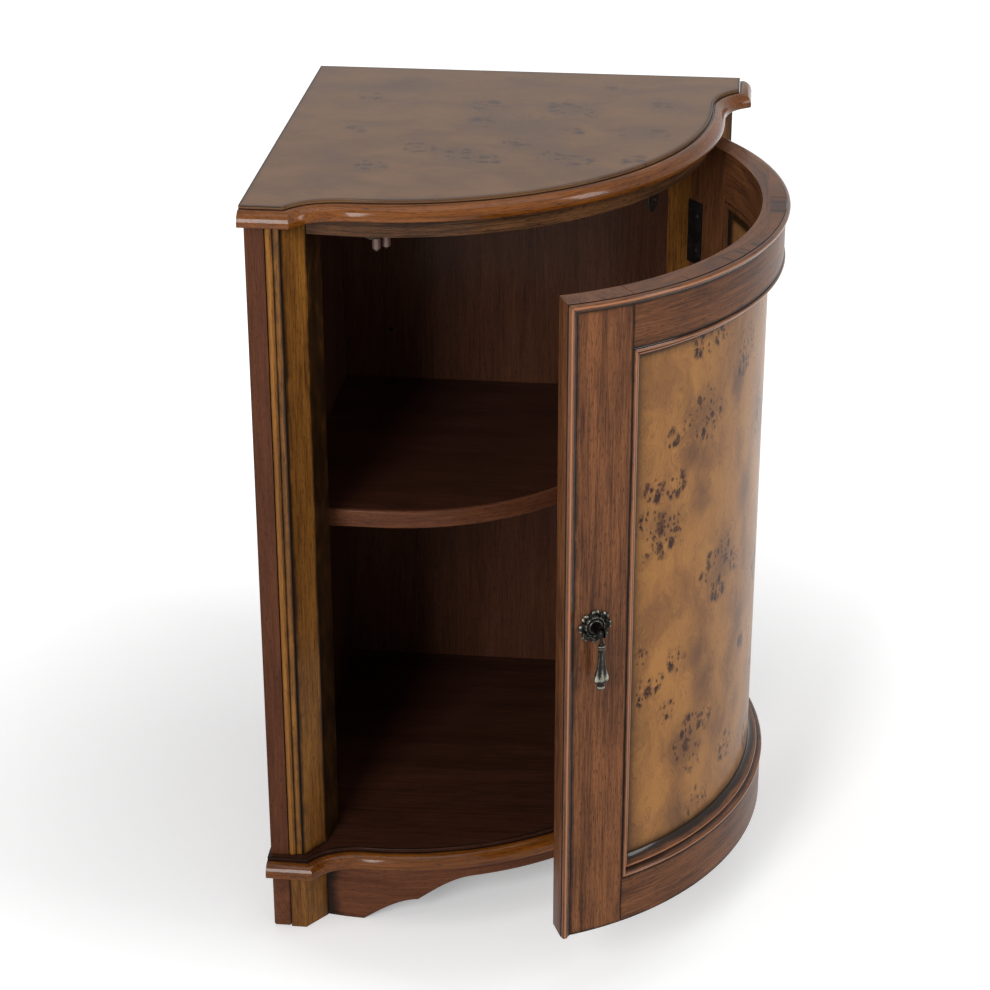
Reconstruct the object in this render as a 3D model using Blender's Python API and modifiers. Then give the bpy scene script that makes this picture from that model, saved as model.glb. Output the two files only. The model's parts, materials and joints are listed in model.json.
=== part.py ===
"""Bow-front corner cabinet: a quarter-round case with a curved frame-and-panel door.

The room corner is the origin: +X runs along the right wall, -Y along the left wall, +Z up.
The front is symmetric about the diagonal between the walls. Metres.
Angles on the front are in degrees about the arc's centre, from the diagonal, negative
towards the left wall. The door stands open, turned about its hinge pin.
"""
import math

import bmesh
import bpy
from mathutils import Matrix, Vector

# Clearance between two pieces that touch
GAP = 0.0003
# Sharpest turn of the outline that still counts as round, and the step of the large arcs
SMOOTH_ANGLE = math.radians(35)
ARC_STEP = 4.0

# Case: overall sizes
WALL_LENGTH = 0.430
HEIGHT = 0.762
BASE_TOP = 0.085
ARC_CENTRE = 0.1032
BOW_SET_BACK = 0.0193

# Top and base boards, and the moulding along their front
BOARD_THICKNESS = 0.017
BOARD_OVERLAP = 0.001
SHOULDER = 0.040
COVE_ENTRY = 57.0
COVE_JOIN = 46.0
MOULDING_REACH = 0.012
MOULDING_FILLET = 0.003
MOULDING_QUIRK = 0.0018
MOULDING_LIP = 0.0022
OVOLO_STEPS = 5

# Side panels and pilasters
PANEL_REVEAL = 0.0025
PANEL_THICKNESS = 0.0175
PILASTER_SET_BACK = 0.0065
PILASTER_REACH = 0.0535
PILASTER_DEPTH = 0.038
BEAD_WIDTH = 0.0145
BEAD_DEPTH = 0.008
BEAD_SHARE = 0.48
BEAD_STEPS = 6

# Frieze rail above the door and apron below the base board
FRIEZE_DROP = 0.0185
RAIL_THICKNESS = 0.018
TOE_LENGTH = 0.036
SCROLL_LENGTH = 0.055
SCROLL_RISE_LOW = 0.025
SCROLL_RISE_HIGH = 0.0235
SCROLL_STEPS = 5

# Plinth under the base board
SIDE_FOOT_LENGTH = 0.070
SIDE_RELIEF = 0.016
GLUE_BLOCK = 0.034

# Shelf and its pins
SHELF_TOP = 0.4245
SHELF_THICKNESS = 0.018
SHELF_SET_BACK = 0.0455
SHELF_BAND = 0.005
SHELF_SIDE_GAP = 0.0015
PIN_RADIUS = 0.0025
PIN_CLEARANCE = 0.0003
PIN_LENGTH = 0.017
PIN_HOLE_DEPTH = 0.009
PIN_NEAR = 0.070
PIN_FAR = 0.285
PIN_PITCH = 0.076

# Door
DOOR_OPEN = 32.5
DOOR_SIDE_GAP = 0.0024
DOOR_BASE_GAP = 0.003
DOOR_HEAD_GAP = 0.0045
DOOR_THICKNESS = 0.022
STILE_WIDTH = 0.062
TOP_RAIL_HEIGHT = 0.050
BOTTOM_RAIL_HEIGHT = 0.048
FRAME_CHAMFER = 0.0009
PANEL_RECESS = 0.0135
DOOR_PANEL_THICKNESS = 0.0055
STICKING_WIDTH = 0.0145
STICKING_PROUD = 0.0014
EDGE_BEAD_WIDTH = 0.0085
EDGE_BEAD_PROUD = 0.004
BACK_BEAD_WIDTH = 0.008

# Hinges
HINGE_INSET = 0.099
HINGE_LENGTH = 0.066
HINGE_TAB = 0.0135
LEAF_THICKNESS = 0.0012
FRAME_LEAF_WIDTH = 0.016
DOOR_LEAF_WIDTH = 0.020
PIN_STAND_OFF = 0.0034
KNUCKLE_RADIUS = 0.0023
HINGE_PIN_RADIUS = 0.0013
KNUCKLE_GAP = 0.0004
KNUCKLE_EASE = 0.0002

# Double roller catch and its strike
CATCH_SET_BACK = 0.021
CATCH_ANGLE = -42.3
CATCH_BLOCK_DROP = 0.0275
CATCH_BLOCK_LENGTH = 0.036
CATCH_BLOCK_WIDTH = 0.030
CATCH_PLATE_LENGTH = 0.034
CATCH_PLATE_WIDTH = 0.022
CATCH_STEEL = 0.0012
ROLLER_RADIUS = 0.0040
ROLLER_HEIGHT = 0.0115
ROLLER_SPREAD = 0.0056
ARM_LENGTH = 0.0105
ARM_WIDTH = 0.0052
CATCH_POST_RADIUS = 0.0011
CATCH_HEAD_RADIUS = 0.0020
STRIKE_LENGTH = 0.020
STRIKE_HEIGHT = 0.009
STRIKE_BULB_RADIUS = 0.0013
STRIKE_BLADE = 0.0012

# Stay bracket behind the frieze rail
BRACKET_ANGLE = 22.0
BRACKET_SET_BACK = 0.011
BRACKET_WIDTH = 0.022
BRACKET_DROP = 0.054
BRACKET_FOOT = 0.020
BRACKET_STEEL = 0.0016
BRACKET_EYE = 0.0035

# Drop pull
PULL_HEIGHT = 0.413
PULL_INSET = 0.029
ROSETTE_RADIUS = 0.0160
ROSETTE_LOBES = 8
ROSETTE_SCALLOP = 0.09
ROSETTE_THICKNESS = 0.0034
POST_LENGTH = 0.0115
POST_BASE = 0.0052
POST_NECK = 0.0034
KNOB_RADIUS = 0.0048
SLOT_WIDTH = 0.0028
PULL_PIN_RADIUS = 0.0008
DROP_LENGTH = 0.057
DROP_WIDTH = 0.0156
DROP_THICKNESS = 0.0068
DROP_EYE_RADIUS = 0.0029

COLOURS = {
    "top_burl": ("#6E5440", 0.30, 0.0),
    "moulding_wood": ("#8A5426", 0.28, 0.0),
    "case_side_wood": ("#6B3F28", 0.45, 0.0),
    "pilaster_wood": ("#7C5228", 0.38, 0.0),
    "interior_wood": ("#4E2A1A", 0.45, 0.0),
    "shelf_wood": ("#5A2E1D", 0.42, 0.0),
    "door_frame_wood": ("#6A4023", 0.35, 0.0),
    "door_burl": ("#A9713A", 0.28, 0.0),
    "block_wood": ("#8C6B47", 0.70, 0.0),
    "hinge_black": ("#232120", 0.45, 0.8),
    "catch_steel": ("#8E8B86", 0.35, 1.0),
    "roller_nylon": ("#7A4A3A", 0.40, 0.0),
    "pull_bronze": ("#3B332A", 0.40, 0.9),
}

# What follows from the sizes
FRONT_PLANE = WALL_LENGTH - PILASTER_SET_BACK
FRONT_RADIUS = FRONT_PLANE - BOW_SET_BACK - ARC_CENTRE
CENTRE = Vector((ARC_CENTRE, -ARC_CENTRE))
BOARD_RADIUS = FRONT_RADIUS + BOARD_OVERLAP
PANEL_INSIDE = PANEL_REVEAL + PANEL_THICKNESS
BEAD_END = PANEL_INSIDE + GAP + BEAD_WIDTH
OPENING_ANGLE = math.degrees(math.acos((PILASTER_REACH - ARC_CENTRE) / FRONT_RADIUS)) - 45
UNDER_TOP = HEIGHT - BOARD_THICKNESS
UNDER_BASE = BASE_TOP - BOARD_THICKNESS
FRIEZE_BOTTOM = UNDER_TOP - FRIEZE_DROP
RAIL_BACK = FRONT_RADIUS - RAIL_THICKNESS
SHELF_RADIUS = RAIL_BACK - SHELF_SET_BACK
CATCH_RADIUS = RAIL_BACK - CATCH_SET_BACK
DOOR_BOTTOM = BASE_TOP + DOOR_BASE_GAP
DOOR_TOP = FRIEZE_BOTTOM - DOOR_HEAD_GAP
DOOR_BACK = FRONT_RADIUS - DOOR_THICKNESS
DOOR_EDGE = OPENING_ANGLE - math.degrees(DOOR_SIDE_GAP / FRONT_RADIUS)
STILE_INSIDE = DOOR_EDGE - math.degrees(STILE_WIDTH / FRONT_RADIUS)
FIELD_BOTTOM = DOOR_BOTTOM + BOTTOM_RAIL_HEIGHT
FIELD_TOP = DOOR_TOP - TOP_RAIL_HEIGHT
PANEL_FACE = FRONT_RADIUS - PANEL_RECESS
PANEL_BACK = PANEL_FACE - DOOR_PANEL_THICKNESS

case = bpy.data.collections.new("corner_cabinet")
cutters = bpy.data.collections.new("cutters")


def clear_scene():
    for item in list(bpy.data.objects):
        bpy.data.objects.remove(item, do_unlink=True)
    for collection in (case, cutters):
        bpy.context.scene.collection.children.link(collection)


def linear(hex_colour):
    """sRGB hex to the linear colour that a shader takes."""
    parts = [int(hex_colour[i:i + 2], 16) / 255 for i in (1, 3, 5)]
    return [c / 12.92 if c <= 0.04045 else ((c + 0.055) / 1.055) ** 2.4 for c in parts] + [1.0]


def material(name):
    """The named finish, made once."""
    found = bpy.data.materials.get(name)
    if found:
        return found
    colour, roughness, metallic = COLOURS[name]
    made = bpy.data.materials.new(name)
    made.use_nodes = True
    shader = made.node_tree.nodes["Principled BSDF"]
    shader.inputs["Base Color"].default_value = linear(colour)
    shader.inputs["Roughness"].default_value = roughness
    shader.inputs["Metallic"].default_value = metallic
    made.diffuse_color = linear(colour)
    return made


def add_object(name, mesh, finish, smooth=False):
    """Put a finished mesh in the case's collection as one named piece."""
    mesh.materials.clear()
    mesh.materials.append(material(finish))
    if smooth:
        mesh.shade_smooth()
        mesh.set_sharp_from_angle(angle=SMOOTH_ANGLE)
    piece = bpy.data.objects.new(name, mesh)
    case.objects.link(piece)
    return piece


def mesh_from(name, bm):
    """A mesh from a bmesh, its faces pointing out."""
    bmesh.ops.recalc_face_normals(bm, faces=bm.faces)
    mesh = bpy.data.meshes.new(name)
    bm.to_mesh(mesh)
    bm.free()
    return mesh


def prism(name, outline, bottom, top, finish, smooth=False):
    """A flat outline in plan, extruded from one height to another."""
    curve = bpy.data.curves.new(name, "CURVE")
    curve.dimensions = "2D"
    curve.fill_mode = "BOTH"
    curve.extrude = (top - bottom) / 2
    spline = curve.splines.new("POLY")
    spline.points.add(len(outline) - 1)
    for point, place in zip(spline.points, outline):
        point.co = (place[0], place[1], 0, 1)
    spline.use_cyclic_u = True
    guide = bpy.data.objects.new(name + "_outline", curve)
    guide.location.z = (top + bottom) / 2
    bpy.context.scene.collection.objects.link(guide)
    bpy.context.view_layer.update()
    evaluated = guide.evaluated_get(bpy.context.evaluated_depsgraph_get())
    mesh = bpy.data.meshes.new_from_object(evaluated)
    mesh.transform(guide.matrix_world)
    bpy.data.objects.remove(guide, do_unlink=True)
    bm = bmesh.new()
    bm.from_mesh(mesh)
    bmesh.ops.remove_doubles(bm, verts=bm.verts, dist=0.00001)
    return add_object(name, mesh_from(name, bm), finish, smooth)


def box(name, low, high, finish):
    """A box between two corners."""
    low = Vector(low)
    high = Vector(high)
    bm = bmesh.new()
    bmesh.ops.create_cube(bm, size=1.0)
    size = high - low
    bmesh.ops.scale(bm, vec=size, verts=bm.verts)
    bmesh.ops.translate(bm, vec=(low + high) / 2, verts=bm.verts)
    return add_object(name, mesh_from(name, bm), finish)


def rod(name, start, end, radius, finish, sides=16, end_radius=None):
    """A round bar, or a cone, from one point to another."""
    start = Vector(start)
    run = Vector(end) - start
    bm = bmesh.new()
    bmesh.ops.create_cone(
        bm, cap_ends=True, segments=sides, radius1=radius,
        radius2=radius if end_radius is None else end_radius, depth=run.length)
    turn = run.to_track_quat("Z", "Y").to_matrix().to_4x4()
    bmesh.ops.transform(bm, matrix=Matrix.Translation(start + run / 2) @ turn, verts=bm.verts)
    return add_object(name, mesh_from(name, bm), finish, smooth=True)


def loft(name, rings, finish, smooth=False):
    """A closed body through rings that have equally many points."""
    bm = bmesh.new()
    rows = [[bm.verts.new(point) for point in ring] for ring in rings]
    count = len(rings[0])
    for row, following in zip(rows, rows[1:]):
        for i in range(count):
            j = (i + 1) % count
            bm.faces.new((row[i], row[j], following[j], following[i]))
    bm.faces.new(rows[0])
    bm.faces.new(rows[-1])
    return add_object(name, mesh_from(name, bm), finish, smooth)


def boolean(piece, other, operation):
    """Cut or join a piece with another shape, which then only serves as the tool."""
    case.objects.unlink(other)
    cutters.objects.link(other)
    other.hide_render = True
    other.display_type = "WIRE"
    modifier = piece.modifiers.new(operation.lower(), "BOOLEAN")
    modifier.operation = operation
    modifier.solver = "EXACT"
    modifier.object = other


def chamfer(piece, width, sharpest=60):
    """Ease the sharp edges of a piece with one flat."""
    modifier = piece.modifiers.new("eased edges", "BEVEL")
    modifier.width = width
    modifier.segments = 1
    modifier.limit_method = "ANGLE"
    modifier.angle_limit = math.radians(sharpest)


def place(piece, matrix):
    piece.matrix_world = matrix
    return piece


def on_arc(radius, angle):
    """A plan point on the front's arc."""
    turn = math.radians(angle - 45)
    return Vector((CENTRE.x + radius * math.cos(turn), CENTRE.y + radius * math.sin(turn)))


def mirrored(outline):
    """The same outline on the other side of the diagonal."""
    return [Vector((-point[1], -point[0])) for point in reversed(outline)]


def arc_angles(first, last):
    """Angles from first to last, on a shared grid, so that neighbours' facets line up."""
    k = math.ceil(first / ARC_STEP + 0.2)
    inner = []
    while k * ARC_STEP < last - 0.2 * ARC_STEP:
        inner.append(k * ARC_STEP)
        k += 1
    return [first] + inner + [last]


def door_angles(first, last):
    """Angles from first to last on the door's grid, which has a point at every joint line."""
    inside = max(2, round(2 * STILE_INSIDE / ARC_STEP))
    stile = max(1, math.ceil((DOOR_EDGE - STILE_INSIDE) / ARC_STEP))
    grid = [-STILE_INSIDE + 2 * STILE_INSIDE * k / inside for k in range(inside + 1)]
    for k in range(1, stile + 1):
        beyond = STILE_INSIDE + (DOOR_EDGE - STILE_INSIDE) * k / stile
        grid += [-beyond, beyond]
    return [first] + sorted(a for a in grid if first + 0.3 < a < last - 0.3) + [last]


def sector(name, inner, outer, first, last, bottom, top, finish, angles=None):
    """A curved board: part of a ring in plan, standing between two heights."""
    angles = angles or arc_angles(first, last)
    outline = [on_arc(outer, a) for a in angles] + [on_arc(inner, a) for a in reversed(angles)]
    return prism(name, outline, bottom, top, finish, smooth=True)


def arc_span(length, radius=FRONT_RADIUS):
    """The angle that a length takes on an arc."""
    return math.degrees(length / radius)


def line_crossing(start, heading, other, other_heading):
    """Where two lines in plan meet."""
    cross = heading.x * other_heading.y - heading.y * other_heading.x
    away = other - start
    reach = (away.x * other_heading.y - away.y * other_heading.x) / cross
    return start + heading * reach


def front_path():
    """The front edge of the top and base boards, from the left wall to the right one."""
    corner = Vector((SHOULDER, -WALL_LENGTH))
    join = on_arc(BOARD_RADIUS, -COVE_JOIN)
    entry = Vector((math.cos(math.radians(COVE_ENTRY)), math.sin(math.radians(COVE_ENTRY))))
    radial = (join - CENTRE).normalized()
    pull = line_crossing(corner, entry, join, Vector((radial.y, -radial.x)))
    half = [Vector((0, -WALL_LENGTH)), corner]
    for k in range(1, 5):
        t = k / 5
        half.append(corner * (1 - t) ** 2 + pull * 2 * t * (1 - t) + join * t ** 2)
    angles = arc_angles(-COVE_JOIN, COVE_JOIN)
    return half + [on_arc(BOARD_RADIUS, a) for a in angles] + mirrored(half)


def offset_path(path, distance):
    """The path moved outwards by a distance, with mitred corners."""
    moved = []
    for i, point in enumerate(path):
        before = (path[i] - path[i - 1]).normalized() if i else None
        after = (path[i + 1] - path[i]).normalized() if i + 1 < len(path) else None
        before = before or after
        after = after or before
        out = Vector((before.y, -before.x)) + Vector((after.y, -after.x))
        share = 2 / out.length_squared
        moved.append(point + out * distance * share)
    return moved


def shaped_board(name, bottom, top, finish):
    """A board that fills the corner and follows the front path."""
    outline = offset_path(front_path(), -GAP) + [Vector((0, 0))]
    return prism(name, outline, bottom, top, finish)


def ovolo():
    """The moulding's section: reach beyond the board's edge, and depth below its top."""
    start = MOULDING_FILLET
    foot = BOARD_THICKNESS - MOULDING_LIP
    section = [(0, start)]
    for k in range(OVOLO_STEPS + 1):
        turn = math.pi / 2 * k / OVOLO_STEPS
        reach = MOULDING_QUIRK + (MOULDING_REACH - MOULDING_QUIRK) * math.sin(turn)
        section.append((reach, foot - (foot - start) * math.cos(turn)))
    section.append((MOULDING_REACH, BOARD_THICKNESS))
    section.append((0, BOARD_THICKNESS))
    return section


def front_moulding(name, top, finish):
    """The ovolo moulding along the whole front of a board, mitred at the shoulders."""
    path = front_path()
    lines = [offset_path(path, reach) for reach, _ in ovolo()]
    rings = []
    for i in range(len(path)):
        rings.append([(line[i].x, line[i].y, top - depth) for line, (_, depth) in zip(lines, ovolo())])
    return loft(name, rings, finish, smooth=True)


def build_boards():
    shaped_board("top_board", UNDER_TOP, HEIGHT, "top_burl")
    front_moulding("top_moulding", HEIGHT, "moulding_wood")
    shaped_board("base_board", UNDER_BASE, BASE_TOP, "interior_wood")
    front_moulding("base_moulding", BASE_TOP, "moulding_wood")


def pin_places():
    """The pins' distance along each wall."""
    return (PIN_NEAR, PIN_FAR)


def shelf_pin_height():
    return SHELF_TOP - SHELF_THICKNESS - GAP - PIN_RADIUS


def drill_pin_holes(panel, wall):
    """Three heights of pin holes in two columns, in a side panel's inner face."""
    depth = PANEL_INSIDE - PIN_HOLE_DEPTH
    for column in pin_places():
        for step in (-1, 0, 1):
            height = shelf_pin_height() + step * PIN_PITCH
            start = along_wall(wall, column, depth, height)
            end = along_wall(wall, column, PANEL_INSIDE + 0.002, height)
            hole = rod("pin_hole", start, end, PIN_RADIUS + PIN_CLEARANCE, "interior_wood", sides=12)
            boolean(panel, hole, "DIFFERENCE")


def along_wall(wall, distance, out, height):
    """A point at a distance from the corner along a wall, and out from that wall."""
    if wall == "left":
        return Vector((out, -distance, height))
    return Vector((distance, -out, height))


def build_side_panels():
    bottom = BASE_TOP + GAP
    top = UNDER_TOP - GAP
    left = box(
        "left_side_panel", (PANEL_REVEAL, -FRONT_PLANE, bottom),
        (PANEL_INSIDE, -PANEL_REVEAL, top), "case_side_wood")
    right = box(
        "right_side_panel", (PANEL_INSIDE + GAP, -PANEL_INSIDE, bottom),
        (FRONT_PLANE, -PANEL_REVEAL, top), "case_side_wood")
    drill_pin_holes(left, "left")
    drill_pin_holes(right, "right")


def pilaster_outline(bead_seat):
    """The left pilaster in plan: seat for the bead, flat, canted face, and end by the door."""
    inside = PANEL_INSIDE + GAP
    arris = on_arc(FRONT_RADIUS, -OPENING_ANGLE)
    heel = on_arc(FRONT_RADIUS - PILASTER_DEPTH, -OPENING_ANGLE)
    canted_start = Vector((BEAD_END + GAP, -FRONT_PLANE))
    back = [arris, heel, Vector((inside, heel.y))]
    if not bead_seat:
        return [Vector((inside, -FRONT_PLANE)), canted_start] + back
    seat = -(FRONT_PLANE - BEAD_DEPTH - GAP)
    return [Vector((inside, seat)), Vector((canted_start.x, seat)), canted_start] + back


def bead_outline():
    """The bead beside the pilaster: a half round, a quirk and a narrow fillet."""
    left = PANEL_INSIDE + GAP
    radius = BEAD_WIDTH * BEAD_SHARE / 2
    rise = BEAD_DEPTH * 0.40
    outline = [Vector((left, -(FRONT_PLANE - BEAD_DEPTH)))]
    for k in range(BEAD_STEPS + 1):
        turn = math.pi * k / BEAD_STEPS
        x = left + radius - radius * math.cos(turn)
        outline.append(Vector((x, -(FRONT_PLANE - rise + rise * math.sin(turn)))))
    fillet = -(FRONT_PLANE - rise * 0.55)
    outline.append(Vector((left + radius * 2 + 0.0004, fillet)))
    outline.append(Vector((left + BEAD_WIDTH, fillet)))
    outline.append(Vector((left + BEAD_WIDTH, -(FRONT_PLANE - BEAD_DEPTH))))
    return outline


def on_side(side, outline):
    return outline if side == "left" else mirrored(outline)


def build_pilasters():
    bottom = BASE_TOP + GAP
    top = UNDER_TOP - GAP
    for side in ("left", "right"):
        prism(side + "_pilaster", on_side(side, pilaster_outline(True)), bottom, top, "pilaster_wood")
        bead = on_side(side, bead_outline())
        prism(side + "_pilaster_bead", bead, bottom, top, "pilaster_wood", smooth=True)


def build_frieze():
    edge = OPENING_ANGLE - arc_span(GAP, RAIL_BACK)
    sector(
        "frieze_rail", RAIL_BACK, FRONT_RADIUS, -edge, edge,
        FRIEZE_BOTTOM, UNDER_TOP - GAP, "moulding_wood")


def scroll():
    """The apron's lower edge on one side: angle in from the foot block, and height."""
    toe = arc_span(TOE_LENGTH)
    reach = arc_span(SCROLL_LENGTH)
    points = [(0, 0), (toe, 0)]
    for k in range(1, SCROLL_STEPS + 1):
        turn = math.pi / 2 * k / SCROLL_STEPS
        points.append((toe + reach * k / SCROLL_STEPS, SCROLL_RISE_LOW * math.sin(turn)))
    for k in range(1, SCROLL_STEPS + 1):
        turn = math.pi / 2 * k / SCROLL_STEPS
        height = SCROLL_RISE_LOW + SCROLL_RISE_HIGH * math.sin(turn)
        points.append((toe + reach * (1 + k / SCROLL_STEPS), height))
    return points


def build_apron():
    """The curved apron with a scrolled bracket foot at each end."""
    edge = OPENING_ANGLE - arc_span(GAP, RAIL_BACK)
    left = [(-edge + angle, height) for angle, height in scroll()]
    flat = arc_angles(left[-1][0], -left[-1][0])[1:-1]
    middle = [(angle, left[-1][1]) for angle in flat]
    right = [(-angle, height) for angle, height in reversed(left)]
    rings = []
    top = UNDER_BASE - GAP
    for angle, height in left + middle + right:
        front = on_arc(FRONT_RADIUS, angle)
        back = on_arc(RAIL_BACK, angle)
        rings.append([(*front, height), (*front, top), (*back, top), (*back, height)])
    return loft("front_apron", rings, "case_side_wood", smooth=True)


def relieved_outline(start, end):
    """A plinth side, seen square on: feet at both ends and a relieved edge between."""
    top = UNDER_BASE - GAP
    ease = SIDE_RELIEF
    return [
        (start, 0), (start + SIDE_FOOT_LENGTH, 0), (start + SIDE_FOOT_LENGTH + ease, SIDE_RELIEF),
        (end - SIDE_FOOT_LENGTH - ease, SIDE_RELIEF), (end - SIDE_FOOT_LENGTH, 0), (end, 0),
        (end, top), (start, top)]


def build_plinth():
    """Side boards, foot blocks and the glue block that carry the base board."""
    left = prism(
        "left_plinth_board", relieved_outline(-FRONT_PLANE, -PANEL_REVEAL),
        PANEL_REVEAL, PANEL_INSIDE, "case_side_wood")
    stand = Matrix(((0, 0, 1, 0), (1, 0, 0, 0), (0, 1, 0, 0), (0, 0, 0, 1)))
    place(left, stand)
    right = prism(
        "right_plinth_board", relieved_outline(PANEL_INSIDE + GAP, FRONT_PLANE),
        PANEL_REVEAL, PANEL_INSIDE, "case_side_wood")
    face = Matrix(((1, 0, 0, 0), (0, 0, -1, 0), (0, 1, 0, 0), (0, 0, 0, 1)))
    place(right, face)
    for side in ("left", "right"):
        outline = on_side(side, pilaster_outline(False))
        prism(side + "_foot_block", outline, 0, UNDER_BASE - GAP, "pilaster_wood")
    near = PANEL_INSIDE + 2 * GAP
    far = near + GLUE_BLOCK
    outline = [(near, -near), (near, -far), (far, -near)]
    prism("corner_glue_block", outline, SIDE_RELIEF, UNDER_BASE - GAP, "block_wood")


def shelf_outline(radius):
    """Quarter-round shelf with straight runs to both side panels."""
    side = PANEL_INSIDE + SHELF_SIDE_GAP
    angles = arc_angles(-45, 45)
    return [Vector((side, -ARC_CENTRE - radius))] + [on_arc(radius, a) for a in angles] + [
        Vector((ARC_CENTRE + radius, -side))]


def build_shelf():
    side = PANEL_INSIDE + SHELF_SIDE_GAP
    bottom = SHELF_TOP - SHELF_THICKNESS
    inner = shelf_outline(SHELF_RADIUS - SHELF_BAND - GAP)
    prism("shelf_board", inner + [Vector((side, -side))], bottom, SHELF_TOP, "shelf_wood")
    outer = shelf_outline(SHELF_RADIUS)
    seat = shelf_outline(SHELF_RADIUS - SHELF_BAND)
    band = prism(
        "shelf_edge_band", outer + list(reversed(seat)), bottom, SHELF_TOP, "shelf_wood", smooth=True)
    chamfer(band, 0.0012)
    for wall in ("left", "right"):
        for number, column in enumerate(pin_places(), 1):
            start = along_wall(wall, column, PANEL_INSIDE - PIN_HOLE_DEPTH + GAP, shelf_pin_height())
            out = PANEL_INSIDE - PIN_HOLE_DEPTH + GAP + PIN_LENGTH
            end = along_wall(wall, column, out, shelf_pin_height())
            rod("shelf_pin_%s_%d" % (wall, number), start, end, PIN_RADIUS, "catch_steel", sides=12)


# Door: everything here is built closed, then carried by the hinge's empty
def door_pivot():
    """The hinge pin's axis: in the gap at the right pilaster, proud of the door's face."""
    angle = OPENING_ANGLE - arc_span(DOOR_SIDE_GAP) / 2
    return on_arc(FRONT_RADIUS + PIN_STAND_OFF, angle)


def hang_on_door(piece, pivot):
    """Carry a piece that was built in the closed position."""
    piece.parent = pivot
    piece.matrix_parent_inverse = Matrix.Translation(-pivot.location)
    return piece


def build_door_frame():
    """Stiles run the full height, and the rails stand between them."""
    pieces = []
    gap = arc_span(GAP)
    for name, first, last in (
            ("door_free_stile", -DOOR_EDGE, -STILE_INSIDE - gap),
            ("door_hinge_stile", STILE_INSIDE + gap, DOOR_EDGE)):
        stile = sector(
            name, DOOR_BACK, FRONT_RADIUS, first, last, DOOR_BOTTOM, DOOR_TOP, "door_frame_wood",
            door_angles(first, last))
        chamfer(stile, FRAME_CHAMFER)
        pieces.append(stile)
    for name, bottom, top in (
            ("door_top_rail", FIELD_TOP + GAP, DOOR_TOP),
            ("door_bottom_rail", DOOR_BOTTOM, FIELD_BOTTOM - GAP)):
        rail = sector(
            name, DOOR_BACK, FRONT_RADIUS, -STILE_INSIDE, STILE_INSIDE, bottom, top, "door_frame_wood",
            door_angles(-STILE_INSIDE, STILE_INSIDE))
        chamfer(rail, FRAME_CHAMFER)
        pieces.append(rail)
    edge = STILE_INSIDE - gap
    panel = sector(
        "door_panel", PANEL_BACK, PANEL_FACE, -edge, edge, FIELD_BOTTOM + GAP, FIELD_TOP - GAP,
        "door_burl", door_angles(-edge, edge))
    pieces.append(panel)
    return pieces


def sticking_section():
    """Across from the frame, and radius: a proud bead, a quirk, a lower bead and a cove to the panel."""
    seat = PANEL_FACE + GAP
    depth = FRONT_RADIUS - seat
    proud = STICKING_PROUD
    width = STICKING_WIDTH
    face = FRONT_RADIUS
    return [
        (GAP, seat), (GAP, face - 0.0004), (width * 0.08, face + proud * 0.7), (width * 0.19, face + proud),
        (width * 0.30, face + proud * 0.4), (width * 0.37, face - depth * 0.17),
        (width * 0.44, face - depth * 0.35), (width * 0.52, face - depth * 0.33),
        (width * 0.63, face - depth * 0.39), (width * 0.70, face - depth * 0.55),
        (width * 0.76, face - depth * 0.73), (width * 0.87, face - depth * 0.89),
        (width, face - depth * 0.97), (width, seat)]


def edge_bead_section():
    """Across from the door's edge, and radius: a half-round bead on the frame's face."""
    seat = FRONT_RADIUS + GAP
    section = [(0.0006, seat)]
    for k in range(5):
        turn = math.pi * (k + 0.5) / 5
        across = EDGE_BEAD_WIDTH / 2 - (EDGE_BEAD_WIDTH / 2 - 0.0006) * math.cos(turn)
        section.append((across, seat + (EDGE_BEAD_PROUD - GAP) * math.sin(turn)))
    section.append((EDGE_BEAD_WIDTH, seat))
    return section


def back_bead_section():
    """Across from the frame, and radius: a quarter-round bead that holds the panel from behind."""
    seat = PANEL_BACK - GAP
    depth = seat - DOOR_BACK
    near = DOOR_BACK + depth * 0.15
    section = [(GAP, seat), (GAP, near)]
    for k in range(4):
        turn = math.pi / 2 * k / 3
        across = 0.0015 + (BACK_BEAD_WIDTH - 0.0015) * math.sin(turn)
        section.append((across, near + depth * 0.55 * (1 - math.cos(turn))))
    section.append((BACK_BEAD_WIDTH, seat))
    return section


def curved_run(name, section, edge, height, up, mitred, finish):
    """A moulding along a rail, from mitre to mitre. It grows from its height, up or down."""
    half_gap = 0.00025
    rings = []
    for angle in door_angles(-edge, edge):
        ring = []
        for across, radius in section:
            turn = angle
            if abs(abs(angle) - edge) < 1e-9 and mitred:
                inset = arc_span(across + half_gap)
                turn = angle + inset if angle < 0 else angle - inset
            place_in_plan = on_arc(radius, turn)
            ring.append((*place_in_plan, height + up * across))
        rings.append(ring)
    return loft(name, rings, finish, smooth=True)


def upright_run(name, section, edge, bottom, top, side, mitres, finish):
    """A moulding along a stile. side is -1 at the free edge and 1 at the hinges."""
    half_gap = 0.00025
    rings = []
    for height, up, mitred in ((bottom, 1, mitres[0]), (top, -1, mitres[1])):
        ring = []
        for across, radius in section:
            place_in_plan = on_arc(radius, side * (edge - arc_span(across)))
            level = height + up * (across + half_gap) if mitred else height
            ring.append((*place_in_plan, level))
        rings.append(ring)
    return loft(name, rings, finish, smooth=True)


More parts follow.
